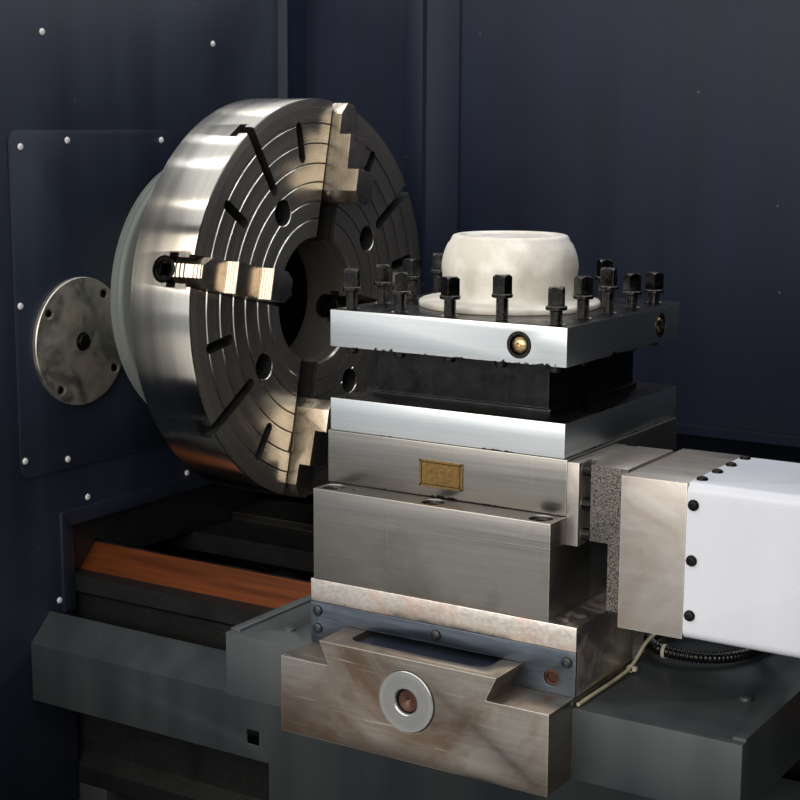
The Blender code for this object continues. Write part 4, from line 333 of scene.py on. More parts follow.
def turnedFinish(name, **look):
    # steel turned about an axis: fine rings that draw each reflection out across them
    made, add, shader, coord = newFinish(name)
    axis = look.get("axis", "X")
    along = [1.0 if letter == axis else 0.0 for letter in "XYZ"]
    local = add("Mapping", {"Vector": coord, "Location": -Vector(look.get("centre", spindle))})
    flat = add("VectorMath", {0: local, 1: [1.0 - share for share in along]}, operation="MULTIPLY")
    out = add("VectorMath", {0: flat}, operation="LENGTH")
    path = add("Math", {0: out, 1: add("SeparateXYZ", {0: local}).outputs[axis]}, operation="ADD")
    rings = add("TexNoise", {"W": path, "Scale": look.get("pitch", 900.0), "Detail": 3.0},
            noise_dimensions="1D")
    bands = add("TexNoise", {"W": path, "Scale": 60.0, "Detail": 2.0}, noise_dimensions="1D")
    both = add("Math", {0: bands, 1: 0.6, 2: rings}, operation="MULTIPLY_ADD")
    metal = add("ValToRGB", {"Fac": both}, stops=[(0.4, look["dark"]), (0.95, look["clean"])])
    cloud = add("TexNoise", {"Vector": coord, "Scale": look.get("cloud", 8.0), "Detail": 7.0,
            "Distortion": 0.6})
    first, last = look["stained"]
    stain = add("MapRange", {"Value": cloud, "From Min": first, "From Max": last, "To Min": 0.0,
            "To Max": look.get("depth", 0.6)})
    low, high = look["roughness"]
    rough = add("MapRange", {"Value": both, "From Min": 0.45, "From Max": 1.1, "To Min": low, "To Max": high})
    way = add("VectorMath", {0: along, 1: flat}, operation="CROSS_PRODUCT")
    feed(shader, {
        "Base Color": add("Mix", {0: stain, 6: metal, 7: toLinear(look["stain"])}, data_type="RGBA"),
        "Roughness": add("Math", {0: stain, 1: look.get("dulling", 0.12), 2: rough}, operation="MULTIPLY_ADD"),
        "Metallic": look.get("metal", 1.0), "Anisotropic": look.get("drawn", 0.75),
                "Anisotropic Rotation": 0.25,
        "Tangent": add("VectorTransform", {0: way}, vector_type="VECTOR", convert_from="OBJECT",
                convert_to="WORLD"),
        "Normal": add("Bump", {"Height": rings, "Strength": look.get("bite", 0.06), "Distance": 0.0001})})
    return made


def castFinish(name, **look):
    # sand cast iron: a pebbled skin with grey paint rubbed off its tops and oil in its pits
    made, add, shader, coord = newFinish(name)
    pebbles = add("TexVoronoi", {"Vector": coord, "Scale": look["grain"]}, feature="SMOOTH_F1")
    pits = add("TexNoise", {"Vector": coord, "Scale": look["grain"] * 1.7, "Detail": 5.0})
    skin = add("Math", {0: pebbles, 1: -0.8, 2: pits}, operation="MULTIPLY_ADD")
    colour = add("ValToRGB", {"Fac": skin}, stops=[(0.0, look["pit"]), (0.35, look["top"])])
    patches = add("TexNoise", {"Vector": coord, "Scale": 14.0, "Detail": 6.0})
    grime = add("MapRange", {"Value": patches, "From Min": 0.5, "From Max": 0.68, "To Min": 0.0,
            "To Max": look.get("grime", 0.6)})
    low, high = look["roughness"]
    feed(shader, {
        "Base Color": add("Mix", {0: grime, 6: colour, 7: toLinear(look["pit"])}, data_type="RGBA"),
        "Roughness": add("MapRange", {"Value": grime, "To Min": low, "To Max": high}),
        "Metallic": look.get("metal", 0.3),
        "Normal": add("Bump", {"Height": skin, "Strength": look.get("bite", 0.6), "Distance": 0.0012})})
    return made


def oiledFinish(name, **look):
    # blackened or moulded parts with a film of oil: dark, with a broken gloss
    made, add, shader, coord = newFinish(name)
    smear = add("TexNoise", {"Vector": coord, "Scale": look.get("smear", 55.0), "Detail": 6.0,
            "Distortion": 0.5})
    grain = add("TexNoise", {"Vector": coord, "Scale": look.get("grain", 700.0), "Detail": 3.0})
    low, high = look["roughness"]
    feed(shader, {
        "Base Color": add("ValToRGB", {"Fac": smear}, stops=[(0.35, look["dark"]), (0.72, look["light"])]),
        "Roughness": add("MapRange", {"Value": smear, "From Min": 0.3, "From Max": 0.7, "To Min": low,
                "To Max": high}),
        "Metallic": look.get("metal", 0.0), "IOR": look.get("ior", 1.5),
        "Normal": add("Bump", {"Height": grain, "Strength": look.get("bite", 0.25), "Distance": 0.0003})})
    return made


def greaseFinish(name, **look):
    # a film of rust-coloured grease wiped along ground iron
    made, add, shader, coord = newFinish(name)
    wipe = add("Mapping", {"Vector": coord, "Scale": (3.0, 60.0, 60.0)})
    smear = add("TexNoise", {"Vector": wipe, "Scale": 1.0, "Detail": 6.0, "Distortion": 0.4})
    low, high = look["roughness"]
    feed(shader, {
        "Base Color": add("ValToRGB", {"Fac": smear}, stops=zip((0.3, 0.52, 0.75), look["colours"])),
        "Roughness": add("MapRange", {"Value": smear, "To Min": low, "To Max": high}), "Metallic": 0.4,
        "Normal": add("Bump", {"Height": smear, "Strength": 0.2, "Distance": 0.0005})})
    return made


finishes = {
    "navy": paintFinish("darkNavyEnamel", base="1b2130", film="293140", speck="7f858e", roughness=(0.42, 0.56)),
    "violet": paintFinish("darkVioletEnamel", base="151b2b", film="1c2439", speck="52566a",
        roughness=(0.44, 0.54), specks=20.0, specular=0.22),
    "greenGrey": paintFinish("darkGreenGreyEnamel", base="30363a", film="444a4c", speck="8a908f",
        roughness=(0.34, 0.52), specks=46.0),
    "charcoal": paintFinish("charcoalEnamel", base="2c3032", film="42474a", speck="6c7072",
        roughness=(0.45, 0.62)),
    "ringPaint": paintFinish("paleGreyGreenEnamel", base="6a726f", film="838a86", speck="434845",
        roughness=(0.35, 0.5), specks=60.0),
    "white": paintFinish("whitePowderCoat", base="ccd1dc", film="d6dae4", speck="aeb2ba",
        roughness=(0.32, 0.42), specks=16.0, peel=0.5),
    "panel": paintFinish("greyPanelEnamel", base="7f858b", film="949aa0", speck="a9aeb2", roughness=(0.4, 0.5)),
    "blackPaint": oiledFinish("blackEnamel", dark="0f1012", light="1d1f22", roughness=(0.3, 0.5)),
    "oxide": oiledFinish("oiledBlackOxide", dark="121212", light="2e2c2a", roughness=(0.22, 0.5), metal=0.85),
    "conduit": oiledFinish("glossyBlackNylon", dark="0c0c0e", light="1b1b1e", roughness=(0.16, 0.3)),
    "belt": oiledFinish("beltRubber", dark="121212", light="232323", roughness=(0.7, 0.85)),
    "glass": oiledFinish("smokedSafetyGlass", dark="0a0d10", light="10151a", roughness=(0.05, 0.09), bite=0.0,
        ior=1.52),
    "tie": oiledFinish("naturalNylonTie", dark="bdbba9", light="d9d7c6", roughness=(0.35, 0.45)),
    "oilTube": oiledFinish("yellowedNylonTube", dark="a39d84", light="c9c4ad", roughness=(0.25, 0.4)),
    "chuckRim": turnedFinish("polishedChuckRim", clean="e6e2d9", dark="d2cec5", stain="a8a296",
        stained=(0.62, 0.8), roughness=(0.17, 0.21), drawn=0.92, dulling=0.05),
    "chuckFace": turnedFinish("groundChuckFace", clean="a8a49b", dark="89857d", stain="5f5a50",
        stained=(0.5, 0.75), roughness=(0.19, 0.28), drawn=0.6, cloud=5.0, metal=0.82),
    # near black for the chuck's slots, channels and inward groove sides: grime with painted shade
    "grime": oiledFinish("grimeAndPaintedShadeInGrooves", dark="0f0e0d", light="1c1a18", roughness=(0.5, 0.7)),
    "jaw": groundFinish("hardenedJawSteel", clean="dacebe", dark="c4b8a8", stain="8f8175",
        stained=(0.58, 0.76), roughness=(0.25, 0.32), lay=(500.0, 40.0, 40.0), cloud=30.0, bite=0.05,
        dulling=0.08, oxide=0.15),
    "shaft": turnedFinish("turnedShaftSteel", clean="b4b3ae", dark="8f8e8a", stain="65625b",
        stained=(0.55, 0.8), roughness=(0.2, 0.34)),
    "cast": castFinish("machinedCastIron", grain=420.0, pit="222324", top="343638", roughness=(0.5, 0.36),
        metal=0.5, bite=0.12),
    "roughCast": castFinish("roughCastHousing", grain=620.0, pit="343231", top="827e7a", roughness=(0.6, 0.4),
        metal=0.4, bite=0.7, grime=0.5),
    "nose": groundFinish("planedSaddleSteel", clean="9d9891", dark="8b867f", stain="54402f",
        stained=(0.44, 0.62), roughness=(0.26, 0.36), lay=(9.0, 9.0, 260.0), cloud=5.5, scratch=0.75,
        nicks=(14.0, 60.0, 330.0), depth=0.85, bite=0.05),
    "slide": groundFinish("scrapedSlideSteel", clean="e8e2dc", dark="c6beb6", stain="bc9c90",
        stained=(0.5, 0.66), roughness=(0.26, 0.42), lay=(150.0, 150.0, 260.0), cloud=26.0, bite=0.3),
    "riser": groundFinish("groundRiserSteel", clean="918f8c", dark="82807d", stain="4c4946",
        stained=(0.46, 0.7), roughness=(0.27, 0.38), lay=(6.0, 6.0, 420.0), cloud=5.0, bite=0.05,
        dirt=((0.9993, 0.008),)),
    "slate": groundFinish("slateWiperPlate", clean="5f6874", dark="505863", stain="2a2c31",
        stained=(0.48, 0.72), roughness=(0.34, 0.48), lay=(20.0, 20.0, 300.0), oxide=0.6, rubbed="868b92"),
    "turret": groundFinish("paleGroundTurretSteel", clean="d9e0e4", dark="cdd4d9", stain="7d7b78",
        stained=(0.68, 0.8), roughness=(0.32, 0.36), lay=(8.0, 8.0, 500.0), cloud=18.0, bite=0.03,
        dirt=((1.1566, 0.009), (1.0603, 0.005))),
    # dark oily steel for the turret's top faces, and for its neck and ledge, where it is also painted shade
    "turretOily": groundFinish("oilyAndShadedTurretSteel", clean="38383b", dark="28282a", stain="121213",
        stained=(0.4, 0.66), roughness=(0.16, 0.34), lay=(60.0, 60.0, 60.0), cloud=22.0, depth=0.9,
        rubbed="56565a"),
    "cover": groundFinish("stainedCoverSteel", clean="dcdad0", dark="bcb9b0", stain="857b6d",
        stained=(0.45, 0.68), roughness=(0.34, 0.5), lay=(60.0, 60.0, 60.0), cloud=14.0, oxide=0.6),
    "box": groundFinish("milledHousingSteel", clean="bfbab6", dark="adaaa6", stain="857a71",
        stained=(0.46, 0.7), roughness=(0.28, 0.42), lay=(10.0, 300.0, 60.0), cloud=9.0, bite=0.06),
    "disc": turnedFinish("turnedScrewDisc", clean="a2a4a4", dark="7c7e7e", stain="57524b", stained=(0.55, 0.8),
        roughness=(0.16, 0.24), axis="Y", centre=spindle + Vector((0.594, 0.0, -0.334)), pitch=700.0,
        drawn=0.95, dulling=0.04),
    "copper": turnedFinish("copperyScrewEnd", clean="6a4f45", dark="3e2c26", stain="261b17",
        stained=(0.5, 0.7), roughness=(0.25, 0.4), axis="Y", centre=spindle + Vector((0.594, 0.0, -0.334))),
    "brass": groundFinish("etchedBrass", clean="a48556", dark="7c6036", stain="463519", stained=(0.5, 0.75),
        roughness=(0.24, 0.38), lay=(300.0, 20.0, 300.0), cloud=90.0, rub=0.0006),
    "ball": groundFinish("brassyNozzleBall", clean="d8c09a", dark="b39a72", stain="6b5333",
        stained=(0.52, 0.72), roughness=(0.14, 0.28), lay=(200.0, 200.0, 200.0), cloud=120.0, rub=0.0004),
    # bright steel for the chuck's outward groove sides and bolt hole lips: wear with a painted highlight
    "bright": groundFinish("wornAndHighlitGrooveSteel", clean="d8d8d6", dark="b0b0ae", stain="77726a",
        stained=(0.6, 0.8), roughness=(0.18, 0.3), lay=(300.0, 300.0, 300.0), cloud=60.0),
    "zinc": paintFinish("whiteZincHeads", base="d6d8da", film="e4e5e6", speck="8f9294", roughness=(0.25, 0.35),
        specks=300.0),
    "nylon": castFinish("mouldedNylon", grain=26.0, pit="d0ccc2", top="efece6", grime=0.6,
        roughness=(0.36, 0.5), metal=0.0, bite=0.02),
    "clamp": groundFinish("oilyClampScrewSteel", clean="4c4b4a", dark="2b2a2a", stain="131313",
        stained=(0.42, 0.64), roughness=(0.1, 0.24), lay=(260.0, 260.0, 260.0), cloud=60.0, bite=0.5,
        rubbed="8d8a86", rub=0.0012),
    "motorPulley": turnedFinish("turnedPulleyIron", clean="8f8e8a", dark="6d6c69", stain="4b4944",
        stained=(0.5, 0.8), roughness=(0.3, 0.45), centre=spindle + Vector((0.0, 0.05, -0.62))),
    "leadScrew": turnedFinish("groundLeadScrew", clean="b4b3ae", dark="8f8e8a", stain="65625b",
        stained=(0.5, 0.8), roughness=(0.2, 0.34), centre=spindle + Vector((0.0, -0.285, -0.56))),
    "ways": groundFinish("groundBedWays", clean="7d7c79", dark="5c5b59", stain="3a3835", stained=(0.45, 0.7),
        roughness=(0.22, 0.38), lay=(6.0, 400.0, 400.0), cloud=5.0),
    "castPaint": castFinish("paintedCasting", grain=200.0, pit="33363a", top="50555a", roughness=(0.5, 0.35),
        metal=0.1, bite=0.15),
    "grease": greaseFinish("greasedBedWay", colours=("4a2813", "703a1c", "8c4c24"), roughness=(0.25, 0.5)),
}
print("finishes made:", len(finishes))

chuck = {
    "radius": 0.315, "depth": 0.1136, "bore": 0.1, "edge": 0.003, "groove": 0.0013,
    "grooves": (0.129, 0.156, 0.186, 0.215, 0.246, 0.277), "seat": (0.0235, 0.0085), "channel": 0.019,
    "tee": 0.0255, "teeTop": -0.028, "teeBottom": -0.045, "chamfer": 0.0012, "longSlot": (0.0085, 0.2, 0.027),
    "undercut": (0.016, 0.016), "shortSlot": (0.008, 0.219, 0.282), "boltRing": 0.167, "segments": 192,
    "spigot": (0.1503, 0.022), "screwDepth": 0.053, "screwRadius": 0.0203,
}
turnChuck = Matrix.Rotation(clock, 4, "X")
jawTurns = [square - i * square for i in range(4)]          # front, top, back, bottom
betweenTurns = [turn + square / 2.0 for turn in jawTurns]


def aroundX(bm, turns):
    return repeated(bm, [Matrix.Rotation(turn, 4, "X") for turn in turns])


def slotOutline(half, inner, outer, closed):
    points = arc(0.0, inner + half, half, 180, 360, 12)
    return points + (arc(0.0, outer - half, half, 0, 180, 12) if closed else [(half, outer), (-half, outer)])


def flared(half, depth, low, high):
    # a slot's section with its lips broken by a small chamfer, swept outward
    lip = chuck["chamfer"]
    outline = [
        (-depth, -half), (-lip, -half), (0.0, -half - lip), (0.01, -half - lip), (0.01, half + lip),
        (0.0, half + lip), (-lip, half), (-depth, half),
    ]
    return prism(outline, "Z", low, high)


def chuckBody():
    c = chuck
    face = [(c["bore"], -c["edge"]), (c["bore"] + c["edge"], 0.0)]
    for r in c["grooves"]:
        face += [(r - c["groove"], 0.0), (r, -c["groove"] * 1.2), (r + c["groove"], 0.0)]
    edge = c["edge"]
    spigot, deep = c["spigot"]
    profile = face + [(c["radius"] - edge, 0.0), (c["radius"] - edge * 0.3, -edge * 0.3), (c["radius"], -edge),
        (c["radius"], -c["depth"] + edge), (c["radius"] - edge, -c["depth"]), (spigot, -c["depth"]),
        (spigot, -c["depth"] + deep), (c["bore"], -c["depth"] + deep)]
    bm = turned(profile, c["segments"])
    reach = c["radius"] + 0.03
    start = c["bore"] - 0.02
    half, inner, depth = c["longSlot"]
    wide, under = c["undercut"]
    shortHalf, shortFrom, shortTo = c["shortSlot"]
    bolt = turned([(0.0, 0.003), (0.0242, 0.003), (0.02, -0.0012), (0.02, -0.03), (0.0, -0.03)], 48, "X",
        (0.0, 0.0, c["boltRing"]), closed=False)
    seatHalf, seatDepth = c["seat"]
    bm = cutAll(bm, aroundX(flared(seatHalf, seatDepth, start, reach), jawTurns),
        aroundX(block((-c["screwDepth"], -seatDepth + 0.001), (-c["channel"], c["channel"]), (start, reach)),
        jawTurns), aroundX(block((c["teeBottom"], c["teeTop"]), (-c["tee"], c["tee"]), (start, reach)),
        jawTurns), aroundX(rod("Z", (-c["screwDepth"], 0, 0), c["screwRadius"], start, reach, 40), jawTurns),
        aroundX(prism(slotOutline(half, inner, reach, False), "X", -depth, 0.002), betweenTurns),
        aroundX(prism(slotOutline(wide, inner - 0.004, reach, False), "X", -depth - 0.002, -under),
        betweenTurns),
        aroundX(prism(slotOutline(shortHalf, shortFrom, shortTo, True), "X", -c["depth"] - 0.002, 0.002),
        [turn + side * square / 4.0 for turn in jawTurns for side in (-1, 1)]), aroundX(bolt, betweenTurns))
    spots = [Matrix.Rotation(turn, 3, "X") @ Vector((0.0, 0.0, c["boltRing"])) for turn in betweenTurns]
    for f in bm.faces:
        middle = f.calc_center_median()
        out = math.hypot(middle.y, middle.z)
        shallow = middle.x > -c["groove"] * 1.3
        if out > c["radius"] - edge:
            f.material_index = 1
        elif out < c["bore"] + 2.0 * edge or (shallow and abs(f.normal.x) >= 0.9):
            f.material_index = 0
        else:
            # the outward side of each ring groove is painted bright, as wear and a painted highlight, and the
            # lips of the bolt holes carry a painted highlight ring
            outward = f.normal.y * middle.y + f.normal.z * middle.z > 0.0
            lip = min((middle - spot).length for spot in spots) < 0.023
            # every other face off the face and rim, mostly in the slots, channels, bolt holes and inward groove
            # sides, is painted near black: grime with painted shade
            f.material_index = 3 if shallow and (outward or lip) else 2
    return bm


def capScrew(radius, height, socket, segments=48):
    # a socket head cap screw standing along X, with its head's top at x = 0
    edge = radius * 0.12
    head = turned([(0.0, -height), (radius, -height), (radius, -edge), (radius - edge, 0.0), (0.0, 0.0)],
        segments, closed=False)
    return cutAll(head, rod("X", (0, 0, 0), socket, -height * 0.6, 0.002, 6))


fine("chuck_body", chuckBody(), "chuckFace chuckRim grime bright", turnChuck, 30.0, False)
bolts = capScrew(0.0135, 0.02, 0.0072)
bmesh.ops.translate(bolts, verts=bolts.verts, vec=(-0.0125, 0.0, chuck["boltRing"]))
addPiece("chuck_bolts", aroundX(bolts, betweenTurns), "clamp", "spindle_set", turnChuck)
# the backplate is painted black oxide, which also paints the dark gap behind the chuck as painted shade
plate = turned([(0.1, -0.0919), (0.15, -0.0919), (0.15, -0.1139), (0.2, -0.1139), (0.2, -0.196),
    (0.198, -0.198), (0.052, -0.198), (0.052, -0.15), (0.1, -0.15)], 128)
fine("chuck_backplate", plate, "oxide", turnChuck)
print("chuck made")


jaw = {
    "half": 0.023, "lengths": (0.051, 0.055, 0.052), "steps": (0.063, 0.04, 0.018), "foot": -0.0082,
    "tipBevel": (0.012, 0.016), "endBevel": (0.014, 0.0205), "places": (0.156, 0.1565, 0.156, 0.156),
    "tooth": 0.0017, "edge": 0.0008,
}


def wave(along, high, low, count):
    # gripping ribs on a riser, as (height, along) points going down
    points = []
    for index in range(count * 8 + 1):
        share = index / (count * 8)
        points.append((high + (low - high) * share,
            along - jaw["tooth"] * abs(math.sin(math.pi * count * share))))
    return points


def jawShape():
    tip, middle, tail = jaw["steps"]
    first, second, end = jaw["lengths"][0], sum(jaw["lengths"][:2]), sum(jaw["lengths"])
    half = jaw["half"]
    foot = chuck["teeBottom"] + 0.0005
    edge = 0.0015
    above = [(jaw["foot"], 0.0), (tip - edge, 0.0), (tip, edge)]
    above += [(tip, first - edge)] + wave(first, tip - edge, middle + 0.0015, 4)
    above += [(middle, second - edge)] + wave(second, middle - edge, tail + 0.0015, 4)
    above += [(tail, end - edge)] + wave(end, tail - edge, jaw["foot"], 4)
    top = prism(above, "Y", -half, half)
    neck = chuck["channel"] - 0.0005
    below = [(foot, 0.0), (0.002, 0.0)] + wave(end, 0.002, foot, 6)
    stem = prism(below, "Y", -neck, neck)
    side = chuck["tee"] - 0.0005
    tongue = block((foot, chuck["teeTop"] - 0.0005), (-side, side), (0.0, end - 0.002))
    bm = cutAll(top, stem, tongue, operation="UNION")
    cutters = bmesh.new()
    for way in (-1, 1):
        for across, z0, z1 in ((jaw["tipBevel"][0], 0.0, jaw["tipBevel"][1]),
                (jaw["endBevel"][0], end, end - jaw["endBevel"][1])):
            # the corner's slope runs on past both faces, so that the cut leaves no skin
            slope = (z1 - z0) / across
            inner, outer = half - across - 0.004, half + 0.004
            prism([(way * inner, z0 - slope * 0.004), (way * outer, z0 - slope * 0.004),
                (way * outer, z1 + slope * 0.004)], "X", foot - 0.01, tip + 0.01, cutters)
    trough = rod("Z", (-chuck["screwDepth"], 0, 0), 0.0199, -0.002, end + 0.002, 40)
    bm = cutAll(bm, cutters, trough)
    return bevelled(bm, jaw["edge"], 2, 42.0, lambda e: e.calc_length() > 0.004)


def jawScrew():
    low, high, r = 0.106, 0.314, 0.0195
    neck = high - 0.045
    groove = 0.0025
    profile = [(0.0, low), (r - 0.002, low), (r, low + 0.002)]
    along = low + 0.004
    while along < neck - 0.006:      # trapezoidal thread of 6 mm drawn as rings
        profile += [(r, along), (r, along + 0.0024), (r - groove, along + 0.0032), (r - groove, along + 0.0052)]
        along += 0.006
    profile += [(r, neck - 0.001), (r, neck), (r * 0.72, neck), (r * 0.72, neck + 0.012), (r, neck + 0.012),
        (r, high - 0.0022), (r - 0.0012, high - 0.0006), (r - 0.003, high), (0.0142, high),
        (0.0134, high - 0.0012), (0.0128, high - 0.004), (0.0, high - 0.004)]
    bm = turned(profile, 48, "Z", closed=False)
    half = 0.0088
    socket = block((-half, half), (-half, half), (high - 0.024, high + 0.002))
    return cutAll(bm, socket)


jawBody = jawShape()
for name, place, turn in zip(("front", "top", "back", "bottom"), jaw["places"], jawTurns):
    turn = turnChuck @ Matrix.Rotation(turn, 4, "X")
    fine("jaw_" + name, jawBody.copy(), "jaw", turn @ Matrix.Translation((0.0, 0.0, place)), 30.0)
    atScrew = turn @ Matrix.Translation((-chuck["screwDepth"], 0.0, 0.0))
    fine("jaw_screw_" + name, jawScrew(), "oxide", atScrew, 30.0)
print("jaws made")


ring = turned([(0.089, -0.3297), (0.125, -0.3297), (0.125, -0.236), (0.2215, -0.236), (0.2225, -0.235),
    (0.2225, -0.2272), (0.2217, -0.2264), (0.2217, -0.2254), (0.2225, -0.2246), (0.2225, -0.219),
    (0.2195, -0.215), (0.2165, -0.213), (0.152, -0.213), (0.152, -0.225), (0.089, -0.225)], 160)
fine("spindle_nose_ring", ring, "ringPaint")

coverAt = (-0.3157, -0.21, -0.066)      # the round cover's back face
coverDisc = turned([(0.0, 0.0), (0.1015, 0.0), (0.102, 0.0006), (0.102, 0.0062), (0.1008, 0.0076),
    (0.0985, 0.008), (0.0, 0.008)], 128, "X", coverAt, closed=False)
screwAt = [(coverAt[1] + 0.088 * math.cos(math.radians(54.5) + i * square),
    coverAt[2] + 0.088 * math.sin(math.radians(54.5) + i * square)) for i in range(4)]
sinks = bmesh.new()
for y, z in screwAt:
    rod("X", (0, y, z), 0.009, coverAt[0] + 0.0035, coverAt[0] + 0.012, 32, sinks)
coverDisc = cutAll(coverDisc, rod("X", (0, 0, 0), 0.132, -0.34, -0.29, 128), sinks)
bevelled(coverDisc, 0.0005, 1, 50.0)
fine("round_cover", coverDisc, "cover")
heads = capScrew(0.0062, 0.004, 0.003, 24)
heads = repeated(heads, [Matrix.Translation((coverAt[0] + 0.0072, y, z)) for y, z in screwAt])
plug = rod("X", coverAt, 0.0125, coverAt[0] + 0.0075, coverAt[0] + 0.0145, 6)
bevelled(plug, 0.0008, 2)
washer = turned([(0.01, 0.0078), (0.015, 0.0078), (0.015, 0.0088), (0.0142, 0.0094), (0.01, 0.0094)], 32, "X",
    coverAt)
addPiece("round_cover_screws", merged(heads, plug, washer), "oxide", "machine")


def panHeads(places, radius, height):
    # low domed heads with a small cross recess, standing along X
    out = []
    for x, y, z in places:
        dome = turned([(0.0, -0.0004), (radius, -0.0004), (radius * 0.97, height * 0.35),
            (radius * 0.72, height * 0.8), (radius * 0.35, height), (0.0, height)], 20, "Z", closed=False)
        turnBy = Matrix.Rotation(random.uniform(0.0, square), 4, "Z")
        wide, thin, tall = (-radius * 0.5, radius * 0.5), (-radius * 0.11, radius * 0.11), (height * 0.5,
            height * 2)
        dome = cutAll(dome, block(wide, thin, tall), block(thin, wide, tall))
        out.append(moved(dome, Matrix.Translation((x, y, z)) @ axisTurn("X") @ turnBy))
    return merged(bmesh.new(), *out)


wallFace = -0.3185
plateFace = wallFace + 0.0028
wallDots = [(wallFace, y, z) for y, z in ((-0.266, 0.411), (0.14, 0.411), (-0.199, -0.323), (0.049, -0.329),
    (-0.27, -0.479), (0.205, 0.04))]
plateDots = [(plateFace, y, z) for y, z in ((-0.322, 0.24), (-0.223, 0.249), (-0.003, 0.248), (-0.334, 0.001),
    (-0.336, -0.239), (-0.244, -0.252))]
addPiece("guard_wall_screws", panHeads(wallDots + plateDots, 0.0054, 0.0036), "zinc", "machine")
insetPlate = prism(arc(0.0, -0.248, 0.02, -90, 0, 6) + arc(0.0, 0.245, 0.02, 0, 90, 6) + arc(-0.325, 0.245,
    0.02, 90, 180, 6) + arc(-0.325, -0.248, 0.02, 180, 270, 6), "X", wallFace + 0.0003, plateFace)
insetPlate = cutAll(insetPlate, rod("X", (0, 0, 0), 0.13, wallFace - 0.01, plateFace + 0.01, 128))
bevelled(insetPlate, 0.0006, 2, 50.0)
fine("inset_guard_plate", insetPlate, "navy")
dress("headstock_guard_wall", "navy", 0.0012)
dress("back_guard", "violet", 0.0008)
print("guards made")


tool = {
    "centre": (0.58, -0.433), "half": 0.149, "neck": 0.109, "low": -0.0697, "plate": -0.032,
    "top": (0.0266, 0.0688), "edge": 0.0012, "screwHead": (0.0076, 0.0205), "nozzle": 0.0145,
}
turretAt = Matrix.Translation((tool["centre"][0], tool["centre"][1], 0.0))


# the clamp screws stand round the turret's edges on a grid, each screwed down its own way: how far each
# stands up, row by row from the front left corner
screwTops = [
    0.1137, 0.1132, 0.1116, 0.1173, 0.1081, 0.1143, 0.1142, 0.1164, 0.1188, 0.1189, 0.1078, 0.112, 0.115,
    0.1135, 0.116, 0.1042,
]
screwSpots = [(i, j) for j in range(5) for i in range(5) if i in (0, 4) or j in (0, 4)]
screwPlaces = [(-0.1345 + i * 0.0647, -0.126 + j * 0.0638) for i, j in screwSpots]


def clampScrew(high):
    # square head with its corners turned down, a collar, and a shank with a 2 mm thread
    side, tall = tool["screwHead"]
    low = high - tall
    head = block((-side, side), (-side, side), (low, high))
    cone = turned([(0.0, low - 0.01), (0.0106, low - 0.01), (0.0106, high - 0.0024), (0.0074, high + 0.0002),
        (0.0, high + 0.0002)], 40, "Z", closed=False)
    head = cutAll(head, cone, operation="INTERSECT")
    bevelled(head, 0.0005, 2, 40.0, lambda e: e.calc_length() > 0.006)
    thread = [(0.0, tool["top"][0] - 0.009), (0.0058, tool["top"][0] - 0.009)]
    z = tool["top"][0] - 0.008
    while z < low - 0.0065:
        thread += [(0.0062, z), (0.007, z + 0.0007), (0.007, z + 0.0011), (0.0062, z + 0.0018)]
        z += 0.002
    thread += [(0.0066, low - 0.0048), (0.0108, low - 0.004), (0.0115, low - 0.0034), (0.0115, low - 0.0006),
        (0.0108, low + 0.0002), (0.0, low + 0.0002)]
    return merged(head, turned(thread, 32, "Z", closed=False))


def turretShape():
    t = tool
    half, neck, edge = t["half"], t["neck"], t["edge"]
    low, high = t["top"]
    bottom = bevelled(block((-half, half), (-half, half), (t["low"], t["plate"])), edge, 2)
    middle = block((-neck, neck), (-neck, neck), (t["plate"] - 0.001, low + 0.001))
    step = block((-neck - 0.004, neck + 0.004), (-neck - 0.004, neck + 0.004),
        (t["plate"] - 0.001, t["plate"] + 0.006))
    bevelled(step, 0.0015, 3, 30.0)
    top = bevelled(block((-half, half), (-half, half), (low, high)), edge, 2)
    seats = bmesh.new()
    for x, y in screwPlaces:
        rod("Z", (x, y, 0.0), 0.0092, high - 0.0012, high + 0.002, 32, seats, 0.011)
    level = (low + high) / 2.0 - 0.001
    spots = [Matrix.Rotation(i * square, 4, "Z") for i in range(4)]
    seat = turned([(0.0, -0.004), (t["nozzle"] + 0.0008, -0.004), (t["nozzle"], 0.0008), (t["nozzle"], 0.009),
        (0.0, 0.009)], 40, "Y", (0.093, -half, level), closed=False)
    top = cutAll(top, repeated(seat, spots), seats)
    return merged(cutAll(bottom, step, operation="UNION"), middle, top), spots, level


def oilyTopAndShadedNeck(face):
    # the faces that look up are painted as oil, and so are the neck and the ledge under the top plate, where
    # the dark also stands for painted shade
    if face.normal.z > 0.7:
        return 1
    middle = face.calc_center_median()
    inside = max(abs(middle.x), abs(middle.y)) < tool["neck"] + 0.006
    return 1 if inside and abs(face.normal.z) < 0.5 else 0


turretBody, nozzleTurns, nozzleLevel = turretShape()
fine("tool_turret", painted(turretBody, oilyTopAndShadedNeck), "turret turretOily", turretAt, clean=False)
screws = []
for number, ((x, y), high) in enumerate(zip(screwPlaces, screwTops)):
    turnBy = Matrix.Rotation(math.radians(21.0) * (number + 1), 4, "Z")
    screws.append(moved(clampScrew(high), Matrix.Translation((x, y, 0.0)) @ turnBy))
addPiece("turret_clamp_screws", merged(bmesh.new(), *screws), "clamp", "turret_set", turretAt)
ball = bmesh.new()
bmesh.ops.create_uvsphere(ball, u_segments=32, v_segments=20, radius=0.0118,
    matrix=Matrix.Translation((0.093, -tool["half"] + 0.009, nozzleLevel)))
ball = cutAll(ball, rod("Y", (0.093, 0, nozzleLevel), 0.0028, -tool["half"] - 0.02, -tool["half"] + 0.004, 20))
collar = turned([(0.0112, -0.0012), (0.0138, -0.0012), (0.0142, -0.0006), (0.0142, 0.006), (0.0112, 0.006)], 40,
    "Y", (0.093, -tool["half"] + 0.001, nozzleLevel))
addPiece("turret_nozzles", repeated(ball, nozzleTurns), "ball", "turret_set", turretAt)
addPiece("turret_nozzle_rings", repeated(collar, nozzleTurns), "clamp", "turret_set", turretAt)
capLow = 0.0691
